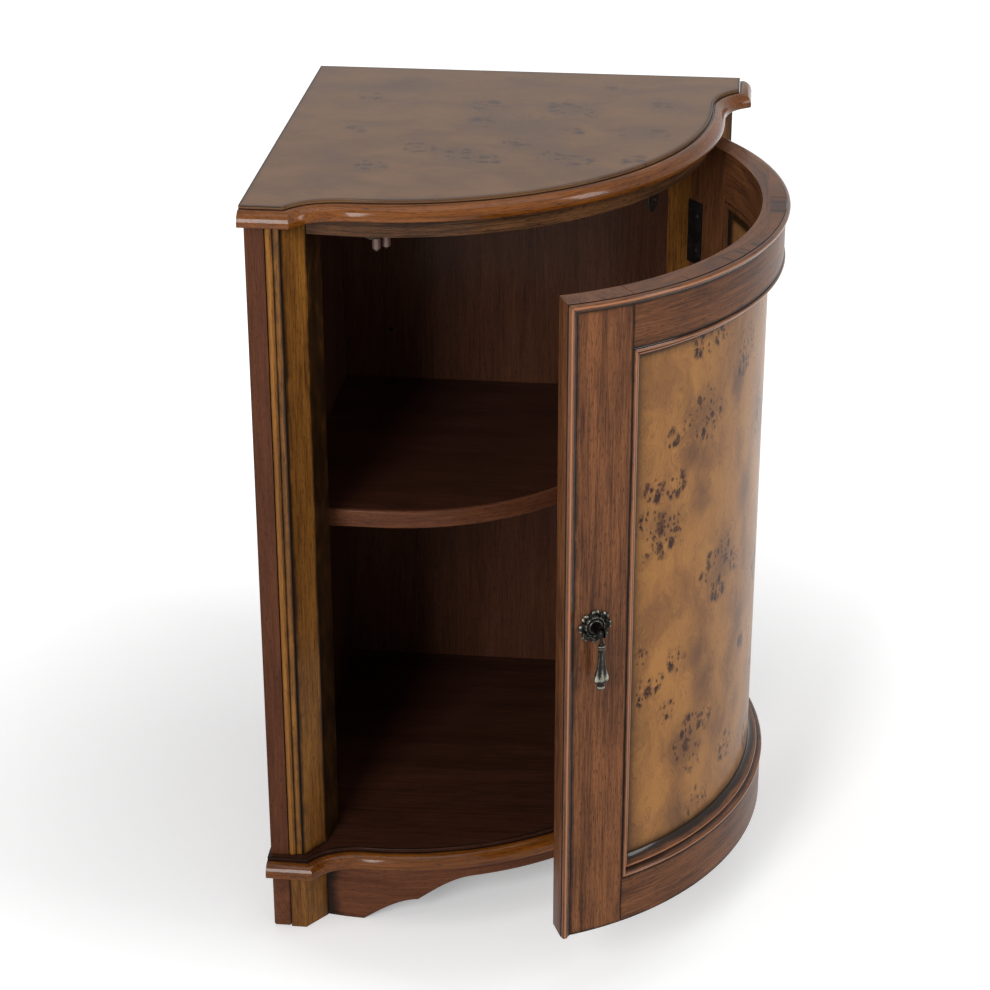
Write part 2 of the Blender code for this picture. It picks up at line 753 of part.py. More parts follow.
def build_door_mouldings():
    """Sticking and back beads round the panel, and the bead round the door's edge."""
    pieces = []
    sides = (("free", -1), ("hinge", 1))
    for word, section in (("sticking", sticking_section()), ("back_bead", back_bead_section())):
        for end, height, up in (("top", FIELD_TOP, -1), ("bottom", FIELD_BOTTOM, 1)):
            name = "door_%s_%s" % (word, end)
            pieces.append(curved_run(
                name, section, STILE_INSIDE, height, up, True, "door_frame_wood"))
        for end, side in sides:
            name = "door_%s_%s" % (word, end)
            pieces.append(upright_run(
                name, section, STILE_INSIDE, FIELD_BOTTOM, FIELD_TOP, side, (True, True),
                "door_frame_wood"))
    section = edge_bead_section()
    pieces.append(curved_run(
        "door_edge_bead_top", section, DOOR_EDGE, DOOR_TOP, -1, True, "door_frame_wood"))
    for end, side in sides:
        bead = upright_run(
            "door_edge_bead_" + end, section, DOOR_EDGE, DOOR_BOTTOM, DOOR_TOP, side, (False, True),
            "door_frame_wood")
        pieces.append(bead)
    notch_for_knuckles(pieces[-1])
    return pieces


def hinge_heights():
    return (("upper", DOOR_TOP - HINGE_INSET), ("lower", DOOR_BOTTOM + HINGE_INSET))


def notch_for_knuckles(bead):
    """Round gains in the hinge side's edge bead, so that it clears the knuckles."""
    pin = door_pivot()
    reach = HINGE_LENGTH / 2 + 0.001
    for _, height in hinge_heights():
        gain = rod(
            "knuckle_gain", (*pin, height - reach), (*pin, height + reach),
            KNUCKLE_RADIUS + 0.0007, "hinge_black")
        boolean(bead, gain, "DIFFERENCE")


def polar_outline(corners):
    return [on_arc(radius, angle) for radius, angle in corners]


def build_frame_leaf(name, height):
    """The leaf on the pilaster's end, with the middle knuckle."""
    pin = door_pivot()
    outer = OPENING_ANGLE - arc_span(GAP)
    inner = outer - arc_span(LEAF_THICKNESS)
    half = HINGE_LENGTH / 2 - HINGE_TAB - KNUCKLE_GAP
    inward = FRONT_RADIUS + PIN_STAND_OFF - FRAME_LEAF_WIDTH
    outward = FRONT_RADIUS + PIN_STAND_OFF
    outline = polar_outline(((inward, outer), (outward, outer), (outward, inner), (inward, inner)))
    leaf = prism(name, outline, height - half, height + half, "hinge_black")
    add_knuckle(leaf, pin, height, half - KNUCKLE_EASE)
    bore_knuckle(leaf, pin, height)
    return leaf


def add_knuckle(leaf, pin, height, half):
    knuckle = rod(
        "knuckle", (*pin, height - half), (*pin, height + half), KNUCKLE_RADIUS, "hinge_black")
    boolean(leaf, knuckle, "UNION")


def bore_knuckle(leaf, pin, height):
    reach = HINGE_LENGTH / 2 + 0.002
    bore = rod(
        "pin_bore", (*pin, height - reach), (*pin, height + reach),
        HINGE_PIN_RADIUS + 0.00025, "hinge_black", sides=12)
    boolean(leaf, bore, "DIFFERENCE")


def build_door_leaf(name, height):
    """The leaf on the door's back, wrapped round its edge by two tabs with knuckles."""
    pin = door_pivot()
    half = HINGE_LENGTH / 2
    face = DOOR_BACK - GAP
    back = face - LEAF_THICKNESS
    near = DOOR_EDGE + arc_span(GAP)
    far = near + arc_span(LEAF_THICKNESS)
    end = DOOR_EDGE - arc_span(DOOR_LEAF_WIDTH, DOOR_BACK)
    outward = FRONT_RADIUS + PIN_STAND_OFF
    outline = polar_outline((
        (back, end), (back, far), (outward, far), (outward, near), (face, near), (face, end)))
    leaf = prism(name, outline, height - half, height + half, "hinge_black")
    add_knuckle(leaf, pin, height, half - KNUCKLE_EASE)
    reach = half - HINGE_TAB
    clear = KNUCKLE_RADIUS + 0.001
    window = polar_outline((
        (face + 0.0006, near - 2), (face + 0.0006, far + 2), (outward + clear, far + 2),
        (outward + clear, near - 2)))
    middle = prism("tab_window", window, height - reach, height + reach, "hinge_black")
    boolean(leaf, middle, "DIFFERENCE")
    bore_knuckle(leaf, pin, height)
    return leaf


def build_hinges():
    """Two hinges: the frame's leaves and pins stay, the door's leaves go with the door."""
    moving = []
    pin = door_pivot()
    for word, height in hinge_heights():
        build_frame_leaf("hinge_%s_frame_leaf" % word, height)
        moving.append(build_door_leaf("hinge_%s_door_leaf" % word, height))
        reach = HINGE_LENGTH / 2 + 0.0008
        rod(
            "hinge_%s_pin" % word, (*pin, height - reach), (*pin, height + reach),
            HINGE_PIN_RADIUS, "hinge_black", sides=12)
    return moving


def catch_frame():
    """The catch's own axes in plan: its centre, the way the strike leaves, and across."""
    middle = on_arc(CATCH_RADIUS, CATCH_ANGLE)
    arm = middle - door_pivot()
    out = Vector((-arm.y, arm.x)).normalized()
    if out.dot(middle - CENTRE) < 0:
        out = -out
    return middle, out, Vector((-out.y, out.x))


def catch_point(out_by, across_by):
    middle, out, across = catch_frame()
    return middle + out * out_by + across * across_by


def catch_slab(name, out_low, out_high, across_low, across_high, bottom, top, finish):
    """A flat plate in the catch's own axes."""
    corners = (
        (out_low, across_low), (out_high, across_low), (out_high, across_high), (out_low, across_high))
    return prism(name, [catch_point(*corner) for corner in corners], bottom, top, finish)


def catch_levels():
    """Heights of the catch's layers, from the block down."""
    block = UNDER_TOP - CATCH_BLOCK_DROP
    plate = block - GAP - CATCH_STEEL
    arm = plate - GAP - CATCH_STEEL
    roller = arm - GAP - ROLLER_HEIGHT
    return block, plate, arm, roller


def build_catch():
    """Block, base plate with two posts, and on each post a sprung arm with its roller."""
    block, plate, arm, roller = catch_levels()
    heel = -ARM_LENGTH - 0.006
    catch_slab(
        "catch_block", heel - 0.010, heel - 0.010 + CATCH_BLOCK_WIDTH, -CATCH_BLOCK_LENGTH / 2,
        CATCH_BLOCK_LENGTH / 2, block, UNDER_TOP - GAP, "block_wood")
    base = catch_slab(
        "catch_base", heel, heel + CATCH_PLATE_WIDTH, -CATCH_PLATE_LENGTH / 2,
        CATCH_PLATE_LENGTH / 2, plate, block - GAP, "catch_steel")
    for side, word in ((-1, "left"), (1, "right")):
        post = catch_point(-ARM_LENGTH, side * ROLLER_SPREAD)
        axle = catch_point(0, side * ROLLER_SPREAD)
        shank = rod(
            "post", (*post, arm - GAP - 0.0002), (*post, plate + 0.0006), CATCH_POST_RADIUS,
            "catch_steel", sides=12)
        head = rod(
            "post_head", (*post, arm - GAP - 0.0010), (*post, arm - GAP), CATCH_HEAD_RADIUS,
            "catch_steel", sides=12)
        boolean(base, shank, "UNION")
        boolean(base, head, "UNION")
        build_catch_arm("catch_arm_" + word, side, post, axle)
        build_roller("catch_roller_" + word, axle)


def build_catch_arm(name, side, post, axle):
    """A flat arm that pivots on its post and carries the roller's axle."""
    _, plate, arm, roller = catch_levels()
    half = ARM_WIDTH / 2
    lever = catch_slab(
        name, -ARM_LENGTH, 0, side * ROLLER_SPREAD - half, side * ROLLER_SPREAD + half,
        arm, plate - GAP, "catch_steel")
    for middle in (post, axle):
        end = rod(
            "arm_end", (*middle, arm), (*middle, plate - GAP), half, "catch_steel", sides=16)
        boolean(lever, end, "UNION")
    hole = rod(
        "arm_hole", (*post, arm - 0.002), (*post, plate + 0.002), CATCH_POST_RADIUS + 0.0003,
        "catch_steel", sides=12)
    boolean(lever, hole, "DIFFERENCE")
    shaft = rod(
        "axle", (*axle, roller - GAP - 0.0004), (*axle, arm + 0.0004), CATCH_POST_RADIUS,
        "catch_steel", sides=12)
    button = rod(
        "axle_head", (*axle, roller - GAP - 0.0010), (*axle, roller - GAP), CATCH_HEAD_RADIUS,
        "catch_steel", sides=12)
    boolean(lever, shaft, "UNION")
    boolean(lever, button, "UNION")
    return lever


def build_roller(name, axle):
    """A nylon roller with rounded ends, bored for its axle."""
    _, _, arm, roller = catch_levels()
    bore = CATCH_POST_RADIUS + 0.0003
    ease = ROLLER_RADIUS * 0.25
    high = arm - GAP
    section = (
        (bore, high), (ROLLER_RADIUS - ease, high), (ROLLER_RADIUS, high - ease),
        (ROLLER_RADIUS, roller + ease), (ROLLER_RADIUS - ease, roller), (bore, roller), (bore, high))
    body = turned("roller", section, "roller_nylon", steps=16)
    body.name = name
    body.location = (*axle, 0)
    return body


def turned(name, section, finish, steps=20):
    """A body turned about the vertical: radius and height, from the top down its outer side."""
    bm = bmesh.new()
    row = [bm.verts.new((radius, 0, height)) for radius, height in section]
    for first, second in zip(row, row[1:]):
        bm.edges.new((first, second))
    mesh = bpy.data.meshes.new(name)
    bm.to_mesh(mesh)
    bm.free()
    piece = add_object(name, mesh, finish)
    screw = piece.modifiers.new("turned", "SCREW")
    screw.steps = steps
    screw.render_steps = steps
    screw.use_merge_vertices = True
    screw.merge_threshold = 0.00001
    return piece


def build_strike():
    """The strike on the door's back: a foot, and a blade with a bulb between the rollers."""
    _, _, arm, roller = catch_levels()
    middle = (arm + roller) / 2
    low = middle - STRIKE_HEIGHT / 2
    high = middle + STRIKE_HEIGHT / 2
    reach = strike_reach()
    tip = catch_point(0, 0)
    blade = catch_slab(
        "catch_strike", 0, reach - 0.0010, -STRIKE_BLADE / 2, STRIKE_BLADE / 2, low, high,
        "catch_steel")
    bulb = rod("bulb", (*tip, low), (*tip, high), STRIKE_BULB_RADIUS, "catch_steel", sides=12)
    boolean(blade, bulb, "UNION")
    landing = catch_point(reach, 0) - CENTRE
    angle = math.degrees(math.atan2(landing.y, landing.x)) + 45
    span = arc_span(STRIKE_LENGTH / 2, DOOR_BACK)
    face = DOOR_BACK - GAP
    foot = prism(
        "strike_foot", polar_outline((
            (face, angle - span), (face, angle + span),
            (face - 0.0022, angle + span), (face - 0.0022, angle - span))),
        low - 0.002, high + 0.002, "catch_steel")
    boolean(blade, foot, "UNION")
    return blade


def strike_reach():
    """How far the door's back lies from the rollers' centre, the way the strike leaves."""
    middle, out, _ = catch_frame()
    from_centre = middle - CENTRE
    along = from_centre.dot(out)
    face = DOOR_BACK - GAP
    return -along + math.sqrt(along ** 2 - from_centre.length_squared + face ** 2)


def bracket_matrix():
    """The stay bracket's own axes: X outwards, Z up, from its leg's top."""
    place_in_plan = on_arc(RAIL_BACK - BRACKET_SET_BACK, BRACKET_ANGLE)
    turn = Matrix.Rotation(math.radians(BRACKET_ANGLE - 45), 4, "Z")
    return Matrix.Translation((*place_in_plan, UNDER_TOP - GAP)) @ turn


def build_stay_bracket():
    """A black angle bracket under the top, behind the frieze rail, with an eye in its round end."""
    half = BRACKET_WIDTH / 2
    eye_height = half - BRACKET_DROP
    outline = [(0, half), (0, -half)]
    for k in range(9):
        turn = math.pi * k / 8
        outline.append((eye_height - half * math.sin(turn), -half * math.cos(turn)))
    bracket = prism("stay_bracket", outline, -BRACKET_STEEL, 0, "hinge_black")
    stand = Matrix(((0, 0, 1, 0), (0, 1, 0, 0), (1, 0, 0, 0), (0, 0, 0, 1)))
    hung = bracket_matrix()
    place(bracket, hung @ stand)
    ease = 0.0002
    foot = box(
        "foot", (-BRACKET_FOOT, ease - half, -BRACKET_STEEL), (-BRACKET_STEEL / 2, half - ease, -ease),
        "hinge_black")
    eye = rod(
        "eye", (-BRACKET_STEEL - 0.002, 0, eye_height), (0.002, 0, eye_height), BRACKET_EYE,
        "hinge_black", sides=12)
    boolean(bracket, place(foot, hung), "UNION")
    boolean(bracket, place(eye, hung @ eye.matrix_basis), "DIFFERENCE")
    return bracket


def pull_matrix():
    """The pull's own axes on the closed door: X out of the face, Z up."""
    angle = -DOOR_EDGE + arc_span(PULL_INSET)
    seat = on_arc(FRONT_RADIUS, angle)
    return Matrix.Translation((*seat, PULL_HEIGHT)) @ Matrix.Rotation(math.radians(angle - 45), 4, "Z")


def build_rosette():
    """The pull's back plate: a domed, scalloped flower."""
    points = ROSETTE_LOBES * 4
    rings = []
    for share, out, depth in (
            (1.00, GAP, 1.0), (1.00, 0.0011, 1.0), (0.82, 0.0028, 0.9), (0.60, 0.0021, 0.5),
            (0.46, 0.0024, 0.0), (0.38, ROSETTE_THICKNESS, 0.0)):
        ring = []
        for k in range(points):
            turn = math.tau * k / points
            lobe = 1 - ROSETTE_SCALLOP * depth * (0.5 - 0.5 * math.cos(ROSETTE_LOBES * turn))
            reach = ROSETTE_RADIUS * share * lobe
            ring.append((out, reach * math.cos(turn), reach * math.sin(turn)))
        rings.append(ring)
    return loft("pull_rosette", rings, "pull_bronze", smooth=True)


def build_post():
    """A stem with a slotted knob, and the pin that the drop hangs on."""
    knob_at = ROSETTE_THICKNESS + GAP + POST_LENGTH
    post = rod(
        "pull_post", (ROSETTE_THICKNESS + GAP, 0, 0), (knob_at, 0, 0), POST_BASE, "pull_bronze",
        sides=16, end_radius=POST_NECK)
    bm = bmesh.new()
    bmesh.ops.create_uvsphere(bm, u_segments=16, v_segments=10, radius=KNOB_RADIUS)
    bmesh.ops.translate(bm, vec=(knob_at, 0, 0), verts=bm.verts)
    boolean(post, add_object("knob", mesh_from("knob", bm), "pull_bronze", smooth=True), "UNION")
    half = SLOT_WIDTH / 2
    slot_back = knob_at - DROP_EYE_RADIUS - 0.0005
    slot = box(
        "slot", (slot_back, -half, -KNOB_RADIUS * 2), (knob_at + KNOB_RADIUS * 2, half, KNOB_RADIUS * 2),
        "pull_bronze")
    boolean(post, slot, "DIFFERENCE")
    pin = rod(
        "drop_pin", (knob_at, -half - 0.001, 0), (knob_at, half + 0.001, 0), PULL_PIN_RADIUS,
        "pull_bronze", sides=10)
    boolean(post, pin, "UNION")
    return post


def drop_rings():
    """The drop below its eye: neck, collar, flattened body that flares, and end bead."""
    shape = (
        (0.02, 0.13, 0.30), (0.09, 0.13, 0.34), (0.19, 0.26, 0.50), (0.215, 0.48, 0.78),
        (0.255, 0.48, 0.78), (0.275, 0.40, 0.62), (0.50, 0.48, 0.66), (0.66, 0.72, 0.82),
        (0.79, 1.00, 1.00), (0.86, 0.88, 0.92), (0.895, 0.38, 0.66), (0.94, 0.52, 0.92),
        (0.98, 0.38, 0.66), (1.00, 0.12, 0.22))
    rings = []
    for depth, width, thickness in shape:
        ring = []
        for k in range(14):
            turn = math.tau * k / 14
            across = DROP_WIDTH / 2 * width * math.sin(turn)
            out = DROP_THICKNESS / 2 * thickness * math.cos(turn)
            ring.append((out, across, -DROP_LENGTH * depth))
        rings.append(ring)
    return rings


def build_drop():
    """The hanging drop, with a flat eye on the knob's pin. Its origin is on that pin."""
    drop = loft("pull_drop", drop_rings(), "pull_bronze", smooth=True)
    half = SLOT_WIDTH / 2 - GAP
    eye = rod("drop_eye", (0, -half, 0), (0, half, 0), DROP_EYE_RADIUS, "pull_bronze", sides=16)
    hole = rod(
        "drop_hole", (0, -half - 0.002, 0), (0, half + 0.002, 0), PULL_PIN_RADIUS + 0.0003,
        "pull_bronze", sides=10)
    boolean(drop, eye, "UNION")
    boolean(drop, hole, "DIFFERENCE")
    return drop


def build_pull(pivot):
    """Rosette, post and drop on the free stile."""
    matrix = pull_matrix()
    for piece in (build_rosette(), build_post()):
        place(piece, matrix)
        move_tools(piece, matrix)
        hang_on_door(piece, pivot)
    knob_at = ROSETTE_THICKNESS + GAP + POST_LENGTH
    drop = build_drop()
    hung = matrix @ Matrix.Translation((knob_at, 0, 0))
    place(drop, hung)
    move_tools(drop, hung)
    hang_on_door(drop, pivot)


def move_tools(piece, matrix):
    """A piece's cutters go where it goes."""
    for modifier in piece.modifiers:
        if modifier.type == "BOOLEAN":
            modifier.object.matrix_world = matrix @ modifier.object.matrix_world


def carry_tools(piece, pivot):
    for modifier in piece.modifiers:
        if modifier.type == "BOOLEAN":
            hang_on_door(modifier.object, pivot)


def build_door():
    """The door and all that it carries, turned open about the hinge pin."""
    pivot = bpy.data.objects.new("door_hinge_axis", None)
    pivot.location = (*door_pivot(), 0)
    case.objects.link(pivot)
    bpy.context.view_layer.update()
    pieces = build_door_frame() + build_door_mouldings() + build_hinges() + [build_strike()]
    for piece in pieces:
        hang_on_door(piece, pivot)
    build_pull(pivot)
    for piece in list(pivot.children):
        carry_tools(piece, pivot)
    pivot.rotation_euler.z = math.radians(DOOR_OPEN)


def build():
    clear_scene()
    build_boards()
    build_side_panels()
    build_pilasters()
    build_frieze()
    build_apron()
    build_plinth()
    build_shelf()
    build_catch()
    build_stay_bracket()
    build_door()
    bpy.context.view_layer.update()


build()
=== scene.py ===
"""Looks of a bow-front corner cabinet: finely modelled wood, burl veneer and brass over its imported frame.

The room corner is the origin: +X runs along the right wall, -Y along the left wall, +Z up. Metres.
Angles on the front are in degrees about the arc's centre, from the corner's diagonal, negative
towards the left wall. Door pieces are modelled shut, then turned about the hinge pin.
"""
import json
import math

import bmesh
import bpy
from bpy.props import FloatProperty, FloatVectorProperty, IntProperty, PointerProperty
from mathutils import Matrix, Vector


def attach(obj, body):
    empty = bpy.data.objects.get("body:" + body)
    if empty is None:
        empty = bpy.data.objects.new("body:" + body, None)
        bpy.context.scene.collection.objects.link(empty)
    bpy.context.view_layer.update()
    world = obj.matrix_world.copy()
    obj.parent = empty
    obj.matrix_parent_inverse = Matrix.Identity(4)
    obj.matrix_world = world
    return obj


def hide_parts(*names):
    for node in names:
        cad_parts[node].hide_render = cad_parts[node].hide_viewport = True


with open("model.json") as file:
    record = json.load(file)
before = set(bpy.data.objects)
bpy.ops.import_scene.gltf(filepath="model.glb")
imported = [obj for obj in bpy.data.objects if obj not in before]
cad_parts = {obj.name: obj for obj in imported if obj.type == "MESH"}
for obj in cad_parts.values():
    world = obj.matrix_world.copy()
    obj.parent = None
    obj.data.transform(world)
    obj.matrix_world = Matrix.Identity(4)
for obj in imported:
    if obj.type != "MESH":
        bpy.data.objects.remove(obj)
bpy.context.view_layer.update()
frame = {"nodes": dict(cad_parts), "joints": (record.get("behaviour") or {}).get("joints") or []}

bl_info = {
    "name": "Bow-Front Corner Cabinet",
    "version": (1, 0, 0),
    "blender": (4, 5, 0),
    "location": "View3D > Sidebar > Cabinet",
    "description": "Models and finishes the pieces of a small bow-front corner cabinet",
    "category": "Object",
}

# Clearance between pieces that touch, and between the two sides of a mitre
GAP = 0.0003
MITRE_GAP = 0.00025
# Clearance between the shelf and the side panels
SHELF_GAP = 0.0015
# Degrees from one facet of the front's curve to the next
FACET = 1.2
# Edges that turn more than this stay crisp, and faces with more corners than this are flat ends
CRISP = math.radians(32)
MOST_CORNERS = 8
# The apron's lower edge: its flat toe, the length of a wave, and how far the two waves rise
TOE = 0.036
WAVE = 0.055
RISES = (0.025, 0.0235)
# A hinge leaf's thickness, and how far its screws are from its edge and from its middle
LEAF = 0.0012
SCREW_INSET = 0.0115
SCREW_SPACING = 0.018


def srgb(hex_colour):
    """An sRGB hex value as the linear colour that shaders take."""
    parts = [int(hex_colour[i:i + 2], 16) / 255 for i in (1, 3, 5)]
    return [c / 12.92 if c <= 0.04045 else ((c + 0.055) / 1.055) ** 2.4 for c in parts] + [1.0]


def length(name, default, description):
    return FloatProperty(name=name, description=description, default=default, unit="LENGTH")


def colour(name, default, description):
    return FloatVectorProperty(
        name=name, description=description, default=srgb(default), size=4, subtype="COLOR", min=0, max=1)


class CabinetSizes(bpy.types.PropertyGroup):
    """Sizes that the pieces are worked out from."""
    wall_length: length("Wall length", 0.430, "Top board's length along each wall")
    height: length("Height", 0.762, "Floor to top")
    base_top: length("Base top", 0.085, "Floor to the base board's top")
    arc_centre: length("Arc centre", 0.1032, "Distance of the front arc's centre from each wall")
    front_radius: length("Front radius", 0.301, "Radius of the door's, rail's and apron's face")
    board_thickness: length("Board thickness", 0.017, "Thickness of the top and base boards")
    board_radius: length("Board radius", 0.302, "Radius of the boards' front edge")
    shoulder: length("Shoulder", 0.040, "Straight front edge beside each wall")
    moulding_reach: length("Moulding reach", 0.012, "How far the ovolo stands out")
    moulding_fillet: length("Moulding fillet", 0.003, "Board edge that shows above the ovolo")
    panel_reveal: length("Panel reveal", 0.0025, "Side panels' distance from the wall")
    panel_inside: length("Panel inside", 0.020, "Side panels' inner face from the wall")
    front_plane: length("Front plane", 0.4235, "Pilasters' flat front from the far wall")
    pilaster_reach: length("Pilaster reach", 0.0535, "Pilaster's arris from the near wall")
    pilaster_depth: length("Pilaster depth", 0.038, "Pilaster's end beside the door")
    bead_width: length("Bead width", 0.0145, "Bead and fillet beside the pilaster")
    bead_depth: length("Bead depth", 0.008, "How deep the bead is let in")
    rail_thickness: length("Rail thickness", 0.018, "Thickness of the frieze rail and apron")
    frieze_drop: length("Frieze height", 0.0185, "Height of the frieze rail")
    shelf_top: length("Shelf top", 0.4245, "Floor to the shelf's top")
    shelf_thickness: length("Shelf thickness", 0.018, "Thickness of the shelf")
    shelf_radius: length("Shelf radius", 0.2375, "Radius of the shelf's front edge")
    shelf_band: length("Shelf band", 0.005, "Width of the solid edge band")
    door_bottom: length("Door bottom", 0.088, "Floor to the door")
    door_top: length("Door top", 0.722, "Floor to the door's top")
    door_thickness: length("Door thickness", 0.022, "Thickness of stiles and rails")
    door_side_gap: length("Door side gap", 0.0024, "Clearance at each side of the door")
    stile_width: length("Stile width", 0.062, "Width of the door's stiles")
    top_rail: length("Top rail", 0.050, "Height of the door's top rail")
    bottom_rail: length("Bottom rail", 0.048, "Height of the door's bottom rail")
    panel_recess: length("Panel recess", 0.0135, "How far the burl panel lies behind the frame")
    panel_thickness: length("Panel thickness", 0.0055, "Thickness of the burl panel")
    sticking_width: length("Sticking width", 0.0145, "Width of the moulding round the burl panel")
    edge_bead_width: length("Edge bead width", 0.0085, "Width of the bead round the door's edge")
    edge_bead_proud: length("Edge bead height", 0.0040, "How far that bead stands out")
    hinge_inset: length("Hinge inset", 0.099, "Hinge's middle from the door's end")
    hinge_length: length("Hinge length", 0.066, "Height of a hinge")
    pull_height: length("Pull height", 0.413, "Floor to the pull's rosette")
    pull_inset: length("Pull inset", 0.029, "Rosette's centre from the door's free edge")
    rosette_radius: length("Rosette radius", 0.016, "Radius of the pull's rosette")
    drop_length: length("Drop length", 0.057, "Pull's drop below its pin")
    rosette_lobes: IntProperty(name="Rosette lobes", description="Leaves of the rosette", default=8)


class CabinetColours(bpy.types.PropertyGroup):
    """Colours of stains, glaze, veneers and metals."""
    moulding_pale: colour("Moulding, pale", "#7E4818", "Worn crowns of the glossy mouldings")
    moulding_deep: colour("Moulding, deep", "#4C270B", "Stain of the glossy mouldings")
    case_pale: colour("Case, pale", "#6B412B", "Pale streaks of the side strips and plinth")
    case_deep: colour("Case, deep", "#452618", "Stain of the side strips and plinth")
    pilaster_pale: colour("Pilaster, pale", "#8E5E26", "Pale streaks of the pilasters")
    pilaster_deep: colour("Pilaster, deep", "#533116", "Stain of the pilasters")
    # The frieze's stain, darkened as the moulding's painted shadow on it
    frieze_pale_in_painted_shadow: colour("Frieze, pale", "#65442B", "Pale streaks of the frieze rail")
    frieze_deep_in_painted_shadow: colour("Frieze, deep", "#35241A", "Stain of the frieze rail")
    # The inside's stain, darkened as painted shade for the inside of the cabinet
    inside_pale_in_painted_shade: colour("Inside, pale", "#46291E", "Pale streaks of the inside")
    inside_deep_in_painted_shade: colour("Inside, deep", "#29140C", "Stain of the inside")
    frame_pale: colour("Door frame, pale", "#7A4D2F", "Pale streaks of the door's frame")
    frame_deep: colour("Door frame, deep", "#412619", "Stain of the door's frame")
    # Dark glaze, also laid on as painted shade in grooves, quirks, recesses and under overhangs
    glaze_and_shade: colour("Glaze", "#17100B", "Dark glaze left in grooves and along edges")
    burl_pale: colour("Door burl, pale", "#9C6D3C", "Clear wood of the door's burl")
    burl_deep: colour("Door burl, deep", "#775030", "Clouds of the door's burl")
    burl_shade: colour("Door burl, shade", "#573B2B", "Shaded patches of the door's burl")
    burl_knot: colour("Door burl, knots", "#2C1814", "Knots of the door's burl")
    top_pale: colour("Top burl, pale", "#745439", "Clear wood of the top's burl")
    top_deep: colour("Top burl, deep", "#614633", "Clouds of the top's burl")
    top_shade: colour("Top burl, shade", "#594234", "Shaded patches of the top's burl")
    top_knot: colour("Top burl, knots", "#35292A", "Knots of the top's burl")
    raw_wood: colour("Raw wood", "#8C6B47", "Unstained blocks")
    black_iron: colour("Black iron", "#171716", "Hinges and bracket")
    zinc: colour("Zinc", "#7C7A73", "Catch and shelf pins")
    nylon: colour("Nylon", "#5E4840", "Catch rollers")
    bronze: colour("Antique brass", "#1E1D1A", "Pull")
    bronze_worn: colour("Antique brass, worn", "#8C8A7C", "Rubbed edges of the pull")
    floor: colour("Floor", "#F4F4F4", "Studio floor")


def sizes():
    return bpy.context.scene.cabinet_sizes


def colours():
    return bpy.context.scene.cabinet_colours


# What follows from the sizes
def arc_span(distance, radius=None):
    """The angle that a distance takes on an arc."""
    return math.degrees(distance / (radius or sizes().front_radius))


def on_arc(radius, angle):
    """A plan point on the front's arc."""
    turn = math.radians(angle - 45)
    centre = sizes().arc_centre
    return Vector((centre + radius * math.cos(turn), -centre + radius * math.sin(turn)))


def opening_angle():
    s = sizes()
    return math.degrees(math.acos((s.pilaster_reach - s.arc_centre) / s.front_radius)) - 45


def door_edge():
    return opening_angle() - arc_span(sizes().door_side_gap)


def stile_inside():
    return door_edge() - arc_span(sizes().stile_width)


def under_top():
    return sizes().height - sizes().board_thickness


def under_base():
    return sizes().base_top - sizes().board_thickness


def rail_back():
    return sizes().front_radius - sizes().rail_thickness


def door_back():
    return sizes().front_radius - sizes().door_thickness


def panel_face():
    return sizes().front_radius - sizes().panel_recess


def field():
    """Lowest and highest edge of the door's panel opening."""
    s = sizes()
    return s.door_bottom + s.bottom_rail, s.door_top - s.top_rail


def joint(name):
    return next(j for j in frame["joints"] if j["name"] == name)


def door_turn():
    """From the shut door to the pose in which it stands."""
    hinge = joint("door_hinge")
    pin = Vector(hinge["pos_m"])
    shut = math.radians(hinge["range_deg"][0])
    return Matrix.Translation(pin) @ Matrix.Rotation(-shut, 4, hinge["axis"]) @ Matrix.Translation(-pin)


def spread(first, last, step):
    """Values from first to last in equal steps of at most the given size."""
    count = max(1, math.ceil(abs(last - first) / step))
    return [first + (last - first) * k / count for k in range(count + 1)]


def graded(first, last, margins=(0.0004, 0.0012, 0.0024, 0.0042, 0.0085, 0.0100, 0.0125, 0.0160, 0.0220)):
    """Values from first to last, close together near both ends, where the glaze and painted shade gather."""
    reach = abs(last - first)
    way = 1 if last > first else -1
    near = [m for m in margins if m < reach * 0.45]
    return [first] + [first + way * m for m in near] + [last - way * m for m in reversed(near)] + [last]


def graded_line(start, end):
    """Plan points along a line, close together near both ends."""
    whole = (end - start).length
    return [start.lerp(end, along / whole) for along in graded(0.0, whole)]


def mirrored(outline):
    """The same outline on the other side of the corner's diagonal."""
    return [Vector((-point[1], -point[0])) for point in reversed(outline)]


def arc_steps(count, first=0, whole=math.pi / 2):
    """Equal steps round an arc: each step's number, sine and cosine."""
    return [(k, math.sin(whole * k / count), math.cos(whole * k / count)) for k in range(first, count + 1)]


# Modelling
def sweep(bm, section, stations):
    """Extrude a section through stations. A point of it is across, up and, if it has one, its glaze and
    painted shade, below zero a painted highlight.
    """
    glaze_and_shade = bm.verts.layers.float["glaze_and_shade"]
    ring = []
    for point in section:
        corner = bm.verts.new(stations[0] @ Vector((point[0], point[1], 0)))
        corner[glaze_and_shade] = point[2] if len(point) > 2 else 0
        ring.append(corner)
    start = bm.faces.new(ring)
    edges = list(start.edges)
    for before, after in zip(stations, stations[1:]):
        grown = bmesh.ops.extrude_edge_only(bm, edges=edges)["geom"]
        corners = {g for g in grown if isinstance(g, bmesh.types.BMVert)}
        edges = [g for g in grown if isinstance(g, bmesh.types.BMEdge) and set(g.verts) <= corners]
        bmesh.ops.transform(bm, matrix=after @ before.inverted(), verts=list(corners))
    bmesh.ops.edgeloop_fill(bm, edges=edges)


def new_bmesh():
    bm = bmesh.new()
    bm.verts.layers.float.new("glaze_and_shade")
    bm.verts.layers.float_vector.new("grain")
    bm.verts.layers.float.new("figure")
    bm.verts.layers.float.new("shade")
    return bm


